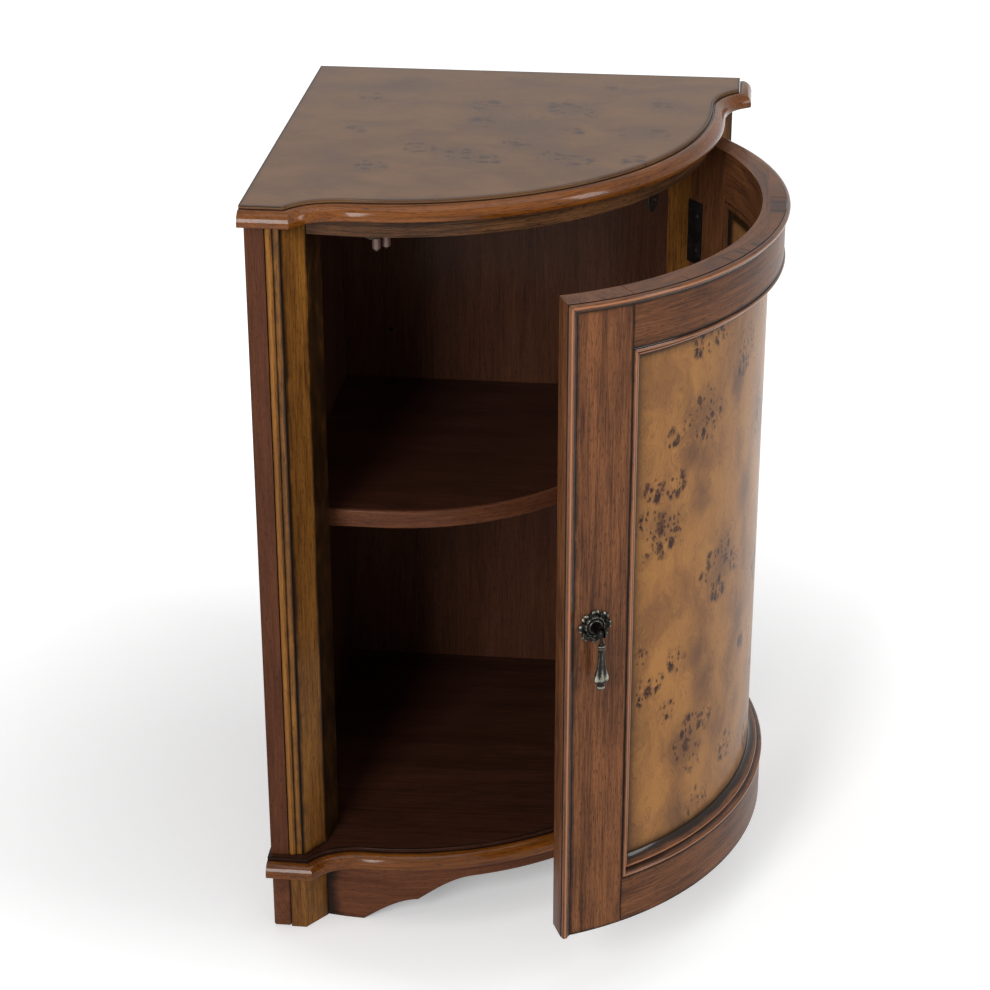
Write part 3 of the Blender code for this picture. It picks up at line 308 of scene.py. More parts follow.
def soften(bm, width, segments=2, sharpest=40, keep=lambda edge: True):
    """Round the sharp edges of a closed shape."""
    bmesh.ops.recalc_face_normals(bm, faces=bm.faces)
    edges = [
        e for e in bm.edges
        if len(e.link_faces) == 2 and e.calc_face_angle() > math.radians(sharpest) and keep(e)]
    bmesh.ops.bevel(
        bm, geom=edges, offset=width, offset_type="OFFSET", affect="EDGES", segments=segments,
        profile=0.5, material=-1, clamp_overlap=True)


def arc_station(angle, up=1.0, foot=0.0):
    """Places a section of radius and height on a radial plane. up and foot scale the height."""
    turn = math.radians(angle - 45)
    centre = sizes().arc_centre
    return Matrix((
        (math.cos(turn), 0, -math.sin(turn), centre),
        (math.sin(turn), 0, math.cos(turn), -centre),
        (0, up, 0, foot),
        (0, 0, 0, 1)))


def level(height):
    """Places a plan section at a height."""
    return Matrix.Translation((0, 0, height))


def prism(bm, outline, heights):
    sweep(bm, outline, [level(height) for height in heights])


def ring_part(outer, inner, angles):
    """Part of a ring in plan."""
    return [on_arc(outer, a) for a in angles] + [on_arc(inner, a) for a in reversed(angles)]


def unrolled(radius, along_arc, shift=0.0):
    """Grain coordinates of a curved piece: along the grain, across it, and depth."""
    centre = sizes().arc_centre

    def grain(co):
        reach = Vector((co.x - centre, co.y + centre))
        around = math.atan2(reach.y, reach.x) * radius
        if along_arc:
            return Vector((around + shift, co.z, reach.length))
        return Vector((co.z + shift, around, reach.length))
    return grain


def upright(shift=0.0):
    """Grain coordinates of a straight upright piece."""
    return lambda co: Vector((co.z + shift, co.x - co.y, co.x + co.y))


def level_grain(direction, shift=0.0):
    """Grain coordinates of a level board: along a plan direction, across it, and height."""
    along = Vector(direction).normalized()
    side = Vector((-along.y, along.x))
    return lambda co: Vector((co.xy.dot(along) + shift, co.xy.dot(side), co.z))


def near_edges(*edges):
    """Glaze and painted shade that gather towards edges. Each edge is its distance as a function, and a
    reach.
    """
    def glaze_and_shade(co):
        return max(math.exp(-max(0.0, away(co)) / reach) for away, reach in edges)
    return glaze_and_shade


def finish_piece(name, bm, body, finish_name, node, grain=None, glaze_and_shade=None, turn=None):
    """Close a piece; give it grain, glaze and painted shade, and its finish; tie it to its body and hide the
    node it replaces.
    """
    bmesh.ops.remove_doubles(bm, verts=bm.verts, dist=0.000001)
    bmesh.ops.recalc_face_normals(bm, faces=bm.faces)
    grain_layer = bm.verts.layers.float_vector["grain"]
    glaze_and_shade_layer = bm.verts.layers.float["glaze_and_shade"]
    for v in bm.verts:
        if grain:
            v[grain_layer] = grain(v.co)
        if glaze_and_shade:
            v[glaze_and_shade_layer] = min(1.0, max(v[glaze_and_shade_layer], glaze_and_shade(v.co)))
    if turn:
        bmesh.ops.transform(bm, matrix=turn, verts=bm.verts)
    mesh = bpy.data.meshes.new(name)
    bm.to_mesh(mesh)
    bm.free()
    mesh.shade_smooth()
    mesh.set_sharp_from_angle(angle=CRISP)
    for face in mesh.polygons:
        face.use_smooth = len(face.vertices) <= MOST_CORNERS
    mesh.materials.append(finish(finish_name))
    piece = bpy.data.objects.new(name, mesh)
    bpy.context.scene.collection.objects.link(piece)
    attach(piece, body)
    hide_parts(node)
    return piece


def dress_node(node, finish_name):
    """Give a carried-over CAD node its finish."""
    mesh = frame["nodes"][node].data
    mesh.materials.clear()
    mesh.materials.append(finish(finish_name))


def packed_copy(node):
    """The solid of a CAD node where it stands, its points merged."""
    source = frame["nodes"][node]
    bm = new_bmesh()
    bm.from_mesh(source.data)
    bmesh.ops.transform(bm, matrix=source.matrix_world, verts=bm.verts)
    bmesh.ops.remove_doubles(bm, verts=bm.verts, dist=0.000002)
    return bm


# Materials
class Nodes:
    """Builds a node tree. Each method returns an output that the next node can take."""

    def __init__(self, tree):
        self.tree = tree

    def add(self, kind, inputs=None, output=0, **settings):
        """Add a node with its settings and its inputs' values or links."""
        node = self.tree.nodes.new("ShaderNode" + kind)
        for name, value in settings.items():
            setattr(node, name, value)
        self.fill(node, inputs or {})
        return node.outputs[output]

    def fill(self, node, inputs):
        """Set a node's inputs to values, or link them to outputs."""
        for key, value in inputs.items():
            if isinstance(value, bpy.types.NodeSocket):
                self.tree.links.new(value, node.inputs[key])
            else:
                node.inputs[key].default_value = value

    def held(self, name, output="Fac"):
        """A value that the piece's vertices carry."""
        return self.add("Attribute", output=output, attribute_name=name)

    def place(self):
        return self.add("TexCoord", output="Object")

    def split(self, value):
        return self.add("SeparateXYZ", {0: value}).node.outputs

    def maths(self, operation, *values):
        return self.add("Math", dict(enumerate(values)), operation=operation)

    def vector(self, operation, *values):
        return self.add("VectorMath", dict(enumerate(values)), operation=operation)

    def carry(self, value, low=0.0, high=1.0, start=0.0, end=1.0, curve="LINEAR"):
        """Carry a value from the range low to high over to start to end."""
        return self.add("MapRange", {0: value, 1: low, 2: high, 3: start, 4: end}, interpolation_type=curve)

    def ease(self, value, low, high, start=0.0, end=1.0):
        return self.carry(value, low, high, start, end, "SMOOTHSTEP")

    def blend(self, share, first, second):
        return self.add("Mix", {0: share, 2: first, 3: second})

    def tint(self, share, first, second, mode="MIX"):
        """Mix two colours."""
        return self.add("Mix", {0: share, 6: first, 7: second}, 2, data_type="RGBA", blend_type=mode)

    def noise(self, space, scale, detail, rough=0.5, twist=0.0, output="Fac"):
        return self.add("TexNoise", {
            "Vector": space, "Scale": scale, "Detail": detail, "Roughness": rough,
            "Distortion": twist}, output)

    def fibres(self, space, along_mm, across_mm, detail, twist=0.0, rough=0.55):
        """Noise whose features are so long and so wide."""
        across = 1000 / across_mm
        scaled = self.vector("MULTIPLY", space, (1000 / along_mm, across, across))
        return self.noise(scaled, 1.0, detail, rough, twist)

    def jolt(self, space, scale, detail, rough, reach):
        """The space, shifted by coloured noise of so much reach."""
        colour_noise = self.noise(space, scale, detail, rough, output="Color")
        centred = self.vector("SUBTRACT", colour_noise, (0.5, 0.5, 0.5))
        return self.vector("MULTIPLY_ADD", centred, (*reach, 0.0), space)

    def bump(self, strength, distance, height):
        return self.add("Bump", {"Strength": strength, "Distance": distance, "Height": height})

    def seen(self, *rays):
        """1 for the named kinds of ray, 0 for the others."""
        path = self.add("LightPath").node.outputs
        result = path["Is Camera Ray"]
        for ray in rays:
            result = self.maths("MAXIMUM", result, path[ray])
        return result


class Finish(Nodes):
    """A material under way, with a Principled shader."""

    def __init__(self, name):
        self.material = bpy.data.materials.new(name)
        self.material.use_nodes = True
        super().__init__(self.material.node_tree)

    def shade(self, base, roughness, others):
        """Fill the shader's sockets and give the material."""
        self.fill(self.tree.nodes["Principled BSDF"], {"Base Color": base, "Roughness": roughness, **others})
        return self.material


def stained_wood(name, pale, deep, gloss, coat, shine, contrast=1.0, lacquer=0.16, own_grain=True):
    """Stained hardwood under lacquer: soft figure, streaks, fine fibres and short pores, dark glaze and
    painted shade.

    The patterns are a little coarser than in the real wood so that they still show. Glaze below
    zero paints a pale highlight, as on a moulding's crown. A CAD node has no grain of its own, so it
    takes object space with the grain upright, and painted shade on its faces inside the cabinet.
    """
    make = Finish(name)
    if own_grain:
        space = make.held("grain", "Vector")
    else:
        parts = make.split(make.place())
        space = make.add("CombineXYZ", {0: parts[2], 1: make.maths("SUBTRACT", parts[0], parts[1])})
    figure = make.fibres(space, 170, 24, 3, 0.5)
    streak = make.fibres(space, 75, 3.4, 2, 0.1)
    fibre = make.fibres(space, 30, 1.1, 2, 0.1)
    pore = make.fibres(space, 8, 0.7, 1, 0.1)
    patch = make.fibres(space, 26, 16, 3, 0.1)
    grain = make.blend(0.34, make.blend(0.45, figure, streak), fibre)
    base = make.tint(make.carry(grain, 0.5 - 0.16 / contrast, 0.5 + 0.16 / contrast), deep, pale)
    pores = make.ease(pore, 0.56, 0.70, 0.0, 0.5 * contrast)
    porous = make.tint(pores, base, colours().glaze_and_shade)
    held = make.held("glaze_and_shade")
    # A painted highlight: the pale stain brightened, laid where the glaze value is below zero
    painted_crown_highlight = [min(1.0, c * 2.3 + 0.02) for c in pale[:3]] + [1.0]
    porous_with_crown_highlight = make.tint(make.carry(held, 0.0, -0.6, 0.0, 0.8), porous, painted_crown_highlight)
    # Glaze and painted shade, broken up by patches
    gathered = make.maths("MULTIPLY_ADD", held, 1.2, make.carry(patch, 0.3, 0.7, -0.22, 0.22))
    final = make.tint(make.ease(gathered, 0.14, 1.05, 0.0, 0.93), porous_with_crown_highlight, colours().glaze_and_shade)
    if not own_grain:
        final = painted_shade_inside(make, final)
    relief = make.maths("MULTIPLY_ADD", pores, -1.6, fibre)
    return make.shade(final, make.carry(fibre, 0.3, 0.7, gloss - 0.05, gloss + 0.07), {
        "Normal": make.bump(0.2, 0.0003, relief), "Specular IOR Level": shine, "Coat Weight": coat,
        "Coat IOR": 1.36, "Coat Roughness": lacquer})


def painted_shade_inside(make, stain):
    """The stain with painted shade on the faces that look into the cabinet, and a little darker elsewhere.
    """
    parts = make.split(make.place())
    depth = make.maths("MINIMUM", parts[0], make.maths("MULTIPLY", parts[1], -1.0))
    inside = sizes().panel_inside
    inner = make.carry(depth, inside - 0.0006, inside - 0.0002)
    shade = make.tint(inner, (0.76, 0.72, 0.70, 1.0), (0.62, 0.66, 0.72, 1.0))
    return make.tint(1.0, stain, shade, "MULTIPLY")


def burl_veneer(name, pale, deep, shade, knot, gloss, coat, knot_mm, strength):
    """Burl veneer under lacquer: warm clouds, curly sheen, and clusters of small dark knots.

    Knots are knot_mm apart in the clusters that the figure attribute marks, with finer dots
    between them. The shade attribute darkens patches. Glaze and painted shade darken the panel's
    edges, where it runs in under the sticking.
    """
    make = Finish(name)
    space = make.held("grain", "Vector")
    warped = make.jolt(space, 30.0, 3.0, 0.55, (0.045, 0.045))
    cloud = make.fibres(warped, 85, 45, 4, 0.3)
    curl = make.fibres(warped, 16, 2.6, 3, 1.4)
    thread = make.fibres(warped, 9, 1.0, 2, 0.5)
    marked = make.held("figure")
    broad = make.blend(make.carry(marked, 0.0, 0.7, 0.24, 0.66), cloud, curl)
    base = make.tint(make.ease(make.blend(0.26, broad, thread), 0.36, 0.62), deep, pale)
    smoky = make.maths("MULTIPLY_ADD", cloud, -1.3, make.held("shade"))
    spotted = make.tint(make.ease(smoky, -0.60, 0.60, 0.0, 0.72), base, shade)
    ragged = make.noise(space, 120.0, 2.0, 0.6)
    inside = make.ease(make.maths("MULTIPLY_ADD", ragged, 0.7, marked), 0.50, 0.80)
    jitter = make.jolt(space, 260.0, 2.0, 0.6, (0.0065, 0.0050))
    for spacing, least, largest, dark in (
            (knot_mm, 0.25, 0.62, strength), (knot_mm * 0.40, 0.30, 0.48, strength * 0.85)):
        cells = make.vector("MULTIPLY", jitter, (1000 / spacing * 0.62, 1000 / spacing, 0.0))
        knots = make.add(
            "TexVoronoi", {"Vector": cells, "Scale": 1.0, "Randomness": 1.0},
            voronoi_dimensions="2D").node.outputs
        chance = make.add("SeparateColor", {0: knots["Color"]})
        reach = make.maths("DIVIDE", knots["Distance"], make.carry(chance, least, 1.0, 0.02, largest))
        halo = make.maths("MULTIPLY", make.ease(reach, 1.0, 2.2, 0.45, 0.0), inside)
        core = make.maths("MULTIPLY", make.ease(reach, 0.50, 1.12, dark, 0.0), inside)
        spotted = make.tint(core, make.tint(halo, spotted, deep), knot)
    # Glaze and painted shade round the panel, under the sticking
    rim = make.ease(make.held("glaze_and_shade"), 0.05, 1.0, 0.0, 0.93)
    final = make.tint(rim, spotted, colours().glaze_and_shade)
    return make.shade(final, make.carry(curl, 0.3, 0.7, gloss - 0.04, gloss + 0.05), {
        "Normal": make.bump(0.04, 0.0004, curl), "Specular IOR Level": 0.05, "Coat Weight": coat,
        "Coat Roughness": 0.16})


def raw_wood(name, tone):
    """Planed beech, left raw: pale and dry, with fine fibres."""
    make = Finish(name)
    fibre = make.fibres(make.place(), 30, 1.5, 3.0, rough=0.5)
    deep = [c * 0.6 for c in tone[:3]] + [1.0]
    return make.shade(make.tint(fibre, deep, tone), 0.75, {"Normal": make.bump(0.3, 0.0003, fibre)})


def plated_metal(name, tone, worn, roughness, metallic, patch_mm, share):
    """Plated or lacquered metal: an even skin with faint patches where it has been rubbed."""
    make = Finish(name)
    patch = make.noise(make.place(), 1000 / patch_mm, 4.0, 0.65)
    return make.shade(
        make.tint(make.ease(patch, 0.42, 0.70, 0.0, share), tone, worn),
        make.carry(patch, 0.3, 0.7, roughness + 0.08, roughness - 0.06),
        {"Metallic": metallic, "Normal": make.bump(0.12, 0.0002, patch)})


def antique_brass(name, tone, worn):
    """Antiqued cast brass: nearly black in the hollows, rubbed bright on the ridges."""
    make = Finish(name)
    patch = make.noise(make.place(), 400.0, 3.0)
    share = make.ease(make.maths("MULTIPLY_ADD", patch, 0.5, make.held("figure")), 0.75, 1.45)
    base = make.tint(share, tone, worn)
    return make.shade(base, make.carry(share, start=0.34, end=0.22), {"Metallic": 0.92})


def nylon(name, tone):
    """Moulded nylon: slightly translucent, satin."""
    make = Finish(name)
    grit = make.carry(make.noise(make.place(), 900.0, 2.0), start=0.85, end=1.1)
    return make.shade(
        make.tint(1.0, tone, grit, "MULTIPLY"), 0.38, {"Subsurface Weight": 0.1, "Subsurface Scale": 0.002})


def finish(name):
    """A finish by its name, made when it is first asked for.

    Wood: pale, deep, roughness, coat, shine, contrast, the lacquer's roughness, own grain. Burl:
    four tones, roughness, coat, knots' spacing and strength. Metal: two tones, roughness, how
    metallic, size of the rubbed patches and their strength.
    """
    c = colours()
    maker, *values = {
        "stained_birch_gloss": (stained_wood, c.moulding_pale, c.moulding_deep, 0.28, 0.6, 0.03, 1.2, 0.11),
        "stained_birch_case": (stained_wood, c.case_pale, c.case_deep, 0.42, 0.1, 0.05),
        "stained_birch_frieze": (stained_wood, c.frieze_pale_in_painted_shadow, c.frieze_deep_in_painted_shadow, 0.36, 0.12, 0.04, 1.6),
        "stained_birch_case_node": (
            stained_wood, c.case_pale, c.case_deep, 0.42, 0.1, 0.05, 1.0, 0.16, False),
        "stained_birch_pilaster": (stained_wood, c.pilaster_pale, c.pilaster_deep, 0.36, 0.2, 0.06, 1.3),
        "stained_birch_inside": (stained_wood, c.inside_pale_in_painted_shade, c.inside_deep_in_painted_shade, 0.38, 0.12, 0.05),
        "stained_oak_frame": (stained_wood, c.frame_pale, c.frame_deep, 0.36, 0.16, 0.05, 1.4),
        "stained_oak_moulding": (stained_wood, c.frame_pale, c.frame_deep, 0.24, 0.55, 0.04, 1.2, 0.10),
        "burl_veneer_door": (
            burl_veneer, c.burl_pale, c.burl_deep, c.burl_shade, c.burl_knot, 0.30, 0.13, 10.0, 0.97),
        "burl_veneer_top": (
            burl_veneer, c.top_pale, c.top_deep, c.top_shade, c.top_knot, 0.32, 0.14, 9.0, 0.7),
        "planed_beech": (raw_wood, c.raw_wood),
        "black_lacquered_steel": (plated_metal, c.black_iron, c.zinc, 0.42, 0.6, 9.0, 0.12),
        "zinc_plated_steel": (plated_metal, c.zinc, c.bronze_worn, 0.34, 1.0, 6.0, 0.3),
        "moulded_nylon": (nylon, c.nylon),
        "antiqued_brass": (antique_brass, c.bronze, c.bronze_worn),
    }[name]
    return bpy.data.materials.get(name) or maker(name, *values)


# Boards and their moulding
def front_path():
    """The front edge of the top and base boards, from the left wall to the right one."""
    s = sizes()
    join_angle = 46.0
    leaving = math.radians(57)
    steps = 14
    corner = Vector((s.shoulder, -s.wall_length))
    entry = Vector((math.cos(leaving), math.sin(leaving)))
    join = on_arc(s.board_radius, -join_angle)
    radial = (join - Vector((s.arc_centre, -s.arc_centre))).normalized()
    heading = Vector((radial.y, -radial.x))
    away = join - corner
    pull = corner + entry * (
        (away.x * heading.y - away.y * heading.x) / (entry.x * heading.y - entry.y * heading.x))
    half = [Vector((0, -s.wall_length)), corner]
    for k in range(1, steps):
        t = k / steps
        half.append(corner * (1 - t) ** 2 + pull * 2 * t * (1 - t) + join * t ** 2)
    arc = [on_arc(s.board_radius, a) for a in spread(-join_angle, join_angle, FACET)]
    return half + arc + mirrored(half)


def path_station(path, i):
    """Places a section of reach and height across the path, mitred where the path turns."""
    before = (path[i] - path[i - 1]).normalized() if i else None
    after = (path[i + 1] - path[i]).normalized() if i + 1 < len(path) else None
    before = before or after
    after = after or before
    out = Vector((before.y, -before.x)) + Vector((after.y, -after.x))
    out = out * (2 / out.length_squared)
    run = (before + after).normalized()
    return Matrix((
        (out.x, 0, run.x, path[i].x), (out.y, 0, run.y, path[i].y), (0, 1, 0, 0), (0, 0, 0, 1)))


def ovolo_section(top):
    """The moulding: a quirk dark with glaze and painted shade below the board's edge, then a quarter round
    and a rounded lip, dark again underneath.
    """
    s = sizes()
    quirk = 0.0016
    ease = 0.0016
    foot = s.board_thickness - 0.0030
    fillet = top - s.moulding_fillet
    lip = top - s.board_thickness
    section = [(0, fillet - 0.0004, 1.0), (quirk * 0.7, fillet - 0.0006, 1.0), (quirk, fillet - 0.0001, 0.7)]
    for k, sine, cosine in arc_steps(12, 1):
        reach = quirk + (s.moulding_reach - quirk) * sine
        drop = foot - (foot - s.moulding_fillet) * cosine
        section.append((reach, top - drop, max(0.0, 0.45 - k * 0.2)))
    for k, sine, cosine in arc_steps(5, 1):
        section.append((s.moulding_reach - ease * (1 - cosine), lip + ease * (1 - sine), 0.03 * k))
    return section + [(s.moulding_reach - 0.0050, lip, 0.5), (0, lip, 1.0)]


# Glaze and painted shade along a board's front edge: how far below the top, and how much. The arris and the
# quirk are dark, the fillet between them light.
EDGE_LINES = ((0.0011, 1.0), (0.0014, 0.15), (0.0027, 0.05), (0.0030, 0.9))


def shaped_board(name, top, finish_name, node):
    """A board that fills the corner, its front edge rounded, with lines of glaze and painted shade along it.

    A grid of cuts gives it the points that the veneer's marks sit on.
    """
    s = sizes()
    slack = 0.0001
    grid = 0.012
    path = front_path()
    outline = [(path_station(path, i) @ Vector((-GAP, 0, 0))).xy for i in range(len(path))]
    outline.append(Vector((0, 0)))
    bm = new_bmesh()
    prism(bm, outline, [top - s.board_thickness, top])
    soften(bm, 0.0009, 3, 60, lambda e: all(
        v.co.z > top - slack and v.co.x > slack and v.co.y < -slack for v in e.verts))
    glaze_and_shade = bm.verts.layers.float["glaze_and_shade"]
    # Glaze and painted shade on the board's edges and underside; the insets clear the top face but for a
    # dark line of glaze round its rim
    for v in bm.verts:
        v[glaze_and_shade] = 0.4
    rim = max(bm.faces, key=lambda f: f.calc_center_median().z * 10 + f.calc_area())
    for width, held in ((0.0009, 0.9), (0.0013, 0.3), (0.0060, 0.0)):
        bmesh.ops.inset_region(bm, faces=[rim], thickness=width, use_even_offset=True)
        for v in rim.verts:
            v[glaze_and_shade] = held
    for drop, held in EDGE_LINES:
        cut_through(bm, (0, 0, top - drop), (0, 0, 1))
        for v in bm.verts:
            if abs(v.co.z - top + drop) < 0.00001:
                v[glaze_and_shade] = held
    for k in range(1, int(s.wall_length / grid)):
        cut_through(bm, (k * grid, 0, 0), (1, 0, 0))
        cut_through(bm, (0, -k * grid, 0), (0, 1, 0))
    return finish_piece(name, bm, "cabinet", finish_name, node, level_grain((1, 0.04)))


def cut_through(bm, place, normal):
    """Add a ring of edges where a plane crosses the shape."""
    bmesh.ops.bisect_plane(
        bm, geom=bm.verts[:] + bm.edges[:] + bm.faces[:], dist=0.000005, plane_co=place, plane_no=normal)


def front_moulding(name, top, node):
    path = front_path()
    bm = new_bmesh()
    sweep(bm, ovolo_section(top), [path_station(path, i) for i in range(len(path))])
    finish_piece(
        name, bm, "cabinet", "stained_birch_gloss", node,
        unrolled(sizes().board_radius, True))


class CABINET_OT_boards(bpy.types.Operator):
    """Model the top and base boards and the ovolo moulding along their front"""
    bl_idname = "cabinet.boards"
    bl_label = "Top and Base"

    def execute(self, context):
        s = sizes()
        top = shaped_board("top_veneered_board", s.height, "burl_veneer_top", "top_board")
        mark(top, "figure", TOP_CLUSTERS)
        mark(top, "shade", TOP_SHADES)
        shaped_board("base_floor_board", s.base_top, "stained_birch_inside", "base_board")
        front_moulding("top_ovolo_moulding", s.height, "top_moulding")
        front_moulding("base_ovolo_moulding", s.base_top, "base_moulding")
        return {"FINISHED"}


# Burl clusters and shaded patches of the top, in mm: along the right wall, out from it, and radius
TOP_CLUSTERS = (
    (180, -125, 16), (180, -180, 13), (225, -165, 12), (255, -130, 16), (280, -145, 12), (265, -200, 12),
    (215, -240, 13), (165, -275, 15), (190, -290, 14), (250, -280, 14), (275, -290, 15), (315, -205, 12),
    (345, -205, 13), (355, -110, 13), (85, -315, 13), (125, -260, 14), (70, -110, 13), (325, -285, 11),
    (60, -210, 10), (300, -60, 10))
TOP_SHADES = (
    (180, -150, 40), (230, -200, 45), (260, -140, 35), (175, -280, 35), (260, -290, 35), (330, -205, 30),
    (60, -330, 40), (360, -120, 35), (90, -70, 35))


def mark(piece, layer, spots_mm, widen=1.0):
    """Mark round spots on a piece's own vertices, which the veneer's pattern follows."""
    mesh = piece.data
    spots = [[value / 1000 for value in spot] for spot in spots_mm]
    for place, held in zip(mesh.attributes["grain"].data, mesh.attributes[layer].data):
        along, across, _ = place.vector
        held.value = max(
            math.exp(-((along - a) ** 2 + (across - b) ** 2) / (r * r * widen ** 2)) for a, b, r in spots)


# Case
def pilaster_outline(bead_seat, reveal=0.8):
    """The left pilaster in plan, its canted face drawn finely for the glaze and painted shade. Its inner
    side carries painted shade of the given strength.
    """
    s = sizes()
    inside = s.panel_inside + GAP
    fillet_end = s.panel_inside + GAP + s.bead_width + GAP
    arris = on_arc(s.front_radius, -opening_angle())
    heel = on_arc(s.front_radius - s.pilaster_depth, -opening_angle())
    start = Vector((fillet_end, -s.front_plane))
    back = [(*point, reveal) for point in graded_line(arris, heel)[1:] + [Vector((inside, heel.y))]]
    if not bead_seat:
        return graded_line(Vector((inside, -s.front_plane)), start) + graded_line(start, arris)[1:] + back
    seat = -(s.front_plane - s.bead_depth - GAP)
    return [Vector((inside, seat)), Vector((fillet_end, seat))] + graded_line(start, arris) + back


def bead_section():
    """Half-round bead, quirk and fillet in plan, with glaze and painted shade in the quirks and a faint
    painted highlight on the crown.
    """
    s = sizes()
    left = s.panel_inside + GAP
    radius = s.bead_width * 0.24
    rise = s.bead_depth * 0.40
    back = -(s.front_plane - s.bead_depth)
    section = [(left, back, 1.0)]
    for k, sine, cosine in arc_steps(14, 0, math.pi):
        section.append((
            left + radius - radius * cosine, -(s.front_plane - rise + rise * sine),
            max(-0.08, 0.9 - sine * 1.9) + 0.35 * (k > 8)))
    fillet = -(s.front_plane - rise * 0.55)
    quirk = left + radius * 2
    end = left + s.bead_width
    section += [
        (quirk + 0.0003, fillet, 0.9), (quirk + 0.0014, fillet, 0.4), ((quirk + end) / 2, fillet, 0.25),
        (end - 0.0026, fillet, 0.5), (end - 0.0014, fillet, 1.0), (end, fillet + 0.0012, 1.0),
        (end, back, 1.0)]
    return section


def on_side(side, outline):
    if side == "left":
        return outline
    return [(-p[1], -p[0], *p[2:]) for p in reversed(outline)]


class CABINET_OT_case(bpy.types.Operator):
    """Model the pilasters and their beads, and finish the side panels"""
    bl_idname = "cabinet.case"
    bl_label = "Case Sides"

    def execute(self, context):
        s = sizes()
        bottom = s.base_top + GAP
        top = under_top() - GAP
        # The last value is the painted shade on each pilaster's inner side: deep on the left, faint on the
        # right
        for side, shift, reveal in (("left", 0.0, 0.75), ("right", 1.7, 0.1)):
            dress_node(side + "_side_panel", "stained_birch_case_node")
            bm = new_bmesh()
            prism(bm, on_side(side, [tuple(p) for p in pilaster_outline(True, reveal)]), graded(bottom, top))
            soften(bm, 0.0008, 2, 50)
            glaze_and_shade = near_edges(*pilaster_edges(side, True, bottom, top))
            finish_piece(
                side + "_canted_pilaster", bm, "cabinet",
                "stained_birch_pilaster", side + "_pilaster", upright(shift), glaze_and_shade)
            bm = new_bmesh()
            prism(bm, on_side(side, bead_section()), [bottom, top])
            finish_piece(
                side + "_bead_strip", bm, "cabinet",
                "stained_birch_pilaster", side + "_pilaster_bead", upright(shift + 0.4))
        return {"FINISHED"}


def pilaster_edges(side, groove, bottom, top):
    """The canted face's two edges and both ends, each with how far its glaze and painted shade reach."""
    s = sizes()
    arris = on_arc(s.front_radius, -opening_angle())
    cant = Vector((s.panel_inside + 2 * GAP + s.bead_width, -s.front_plane))
    if not groove:
        cant = Vector((s.panel_inside + GAP, -s.front_plane))

    def plan(co):
        return co.xy if side == "left" else Vector((-co.y, -co.x))
    return (
        (lambda co: (plan(co) - cant).length, 0.0032 if groove else 0.0012),
        (lambda co: (plan(co) - arris).length, 0.0022),
        (lambda co: top - co.z, 0.0110),
        (lambda co: co.z - bottom, 0.0050))


class CABINET_OT_frieze(bpy.types.Operator):
    """Model the curved frieze rail above the door"""
    bl_idname = "cabinet.frieze"
    bl_label = "Frieze Rail"

    def execute(self, context):
        s = sizes()
        edge = opening_angle() - arc_span(GAP, rail_back())
        top = under_top() - GAP
        bottom = under_top() - s.frieze_drop
        bm = new_bmesh()
        ease = 0.0009
        face = s.front_radius
        # Glaze and painted shadow, darkest at the top under the moulding
        section = [
            (rail_back(), bottom + ease, 0.5), (rail_back() + ease, bottom, 0.4), (face - ease, bottom, 0.1),
            (face - ease * 0.3, bottom + ease * 0.3, 0.05), (face, bottom + ease, 0.1),
            (face, bottom + 0.006, 0.1), (face, top - 0.0060, 0.2), (face, top - 0.0025, 0.5),
            (face, top, 1.0), (rail_back(), top, 0.6)]
        sweep(bm, section, [arc_station(a) for a in spread(-edge, edge, FACET)])
        finish_piece(
            "curved_frieze_rail", bm, "cabinet", "stained_birch_frieze",
            "frieze_rail", unrolled(s.front_radius, True, 0.9))
        return {"FINISHED"}


# Plinth
def scroll():
    """The apron's lower edge on one side: angle in from the foot block, and height."""
    toe = arc_span(TOE)
    wave = arc_span(WAVE)
    points = [(0, 0), (toe * 0.5, 0), (toe, 0)]
    for start, low, rise in ((0, 0.0, RISES[0]), (1, RISES[0], RISES[1])):
        points += [(toe + wave * (start + k / 12), low + rise * sine) for k, sine, _ in arc_steps(12, 1)]
    return points


class CABINET_OT_apron(bpy.types.Operator):
    """Model the curved apron with its scrolled bracket feet"""
    bl_idname = "cabinet.apron"
    bl_label = "Apron"

    def execute(self, context):
        s = sizes()
        edge = opening_angle() - arc_span(GAP, rail_back())
        left = [(-edge + angle, height) for angle, height in scroll()]
        flat = spread(left[-1][0], -left[-1][0], 1.5)[1:-1]
        right = [(-angle, height) for angle, height in reversed(left)]
        top = under_base() - GAP
        ease = 0.0010
        # Glaze and painted shade, darkest along the top under the base board
        section = [
            (rail_back(), 0.03, 0.5), (rail_back() + ease, 0.0, 0.5), (s.front_radius - ease, 0.0, 0.4),
            (s.front_radius, 0.03, 0.3), (s.front_radius, 0.10, 0.0), (s.front_radius, 0.85, 0.1),
            (s.front_radius, 0.95, 0.4), (s.front_radius, 1.0, 1.0), (rail_back(), 1.0, 0.6)]
        stations = []
        for angle, height in left + [(a, left[-1][1]) for a in flat] + right:
            stations.append(arc_station(angle, top - height, height))
        bm = new_bmesh()
        sweep(bm, section, stations)
        finish_piece(
            "scrolled_apron", bm, "cabinet", "stained_birch_case",
            "front_apron", unrolled(s.front_radius, True, 2.3), near_edges(
                (lambda co: math.radians(edge - abs(around_front(co))) * s.front_radius, 0.0012)))
        return {"FINISHED"}


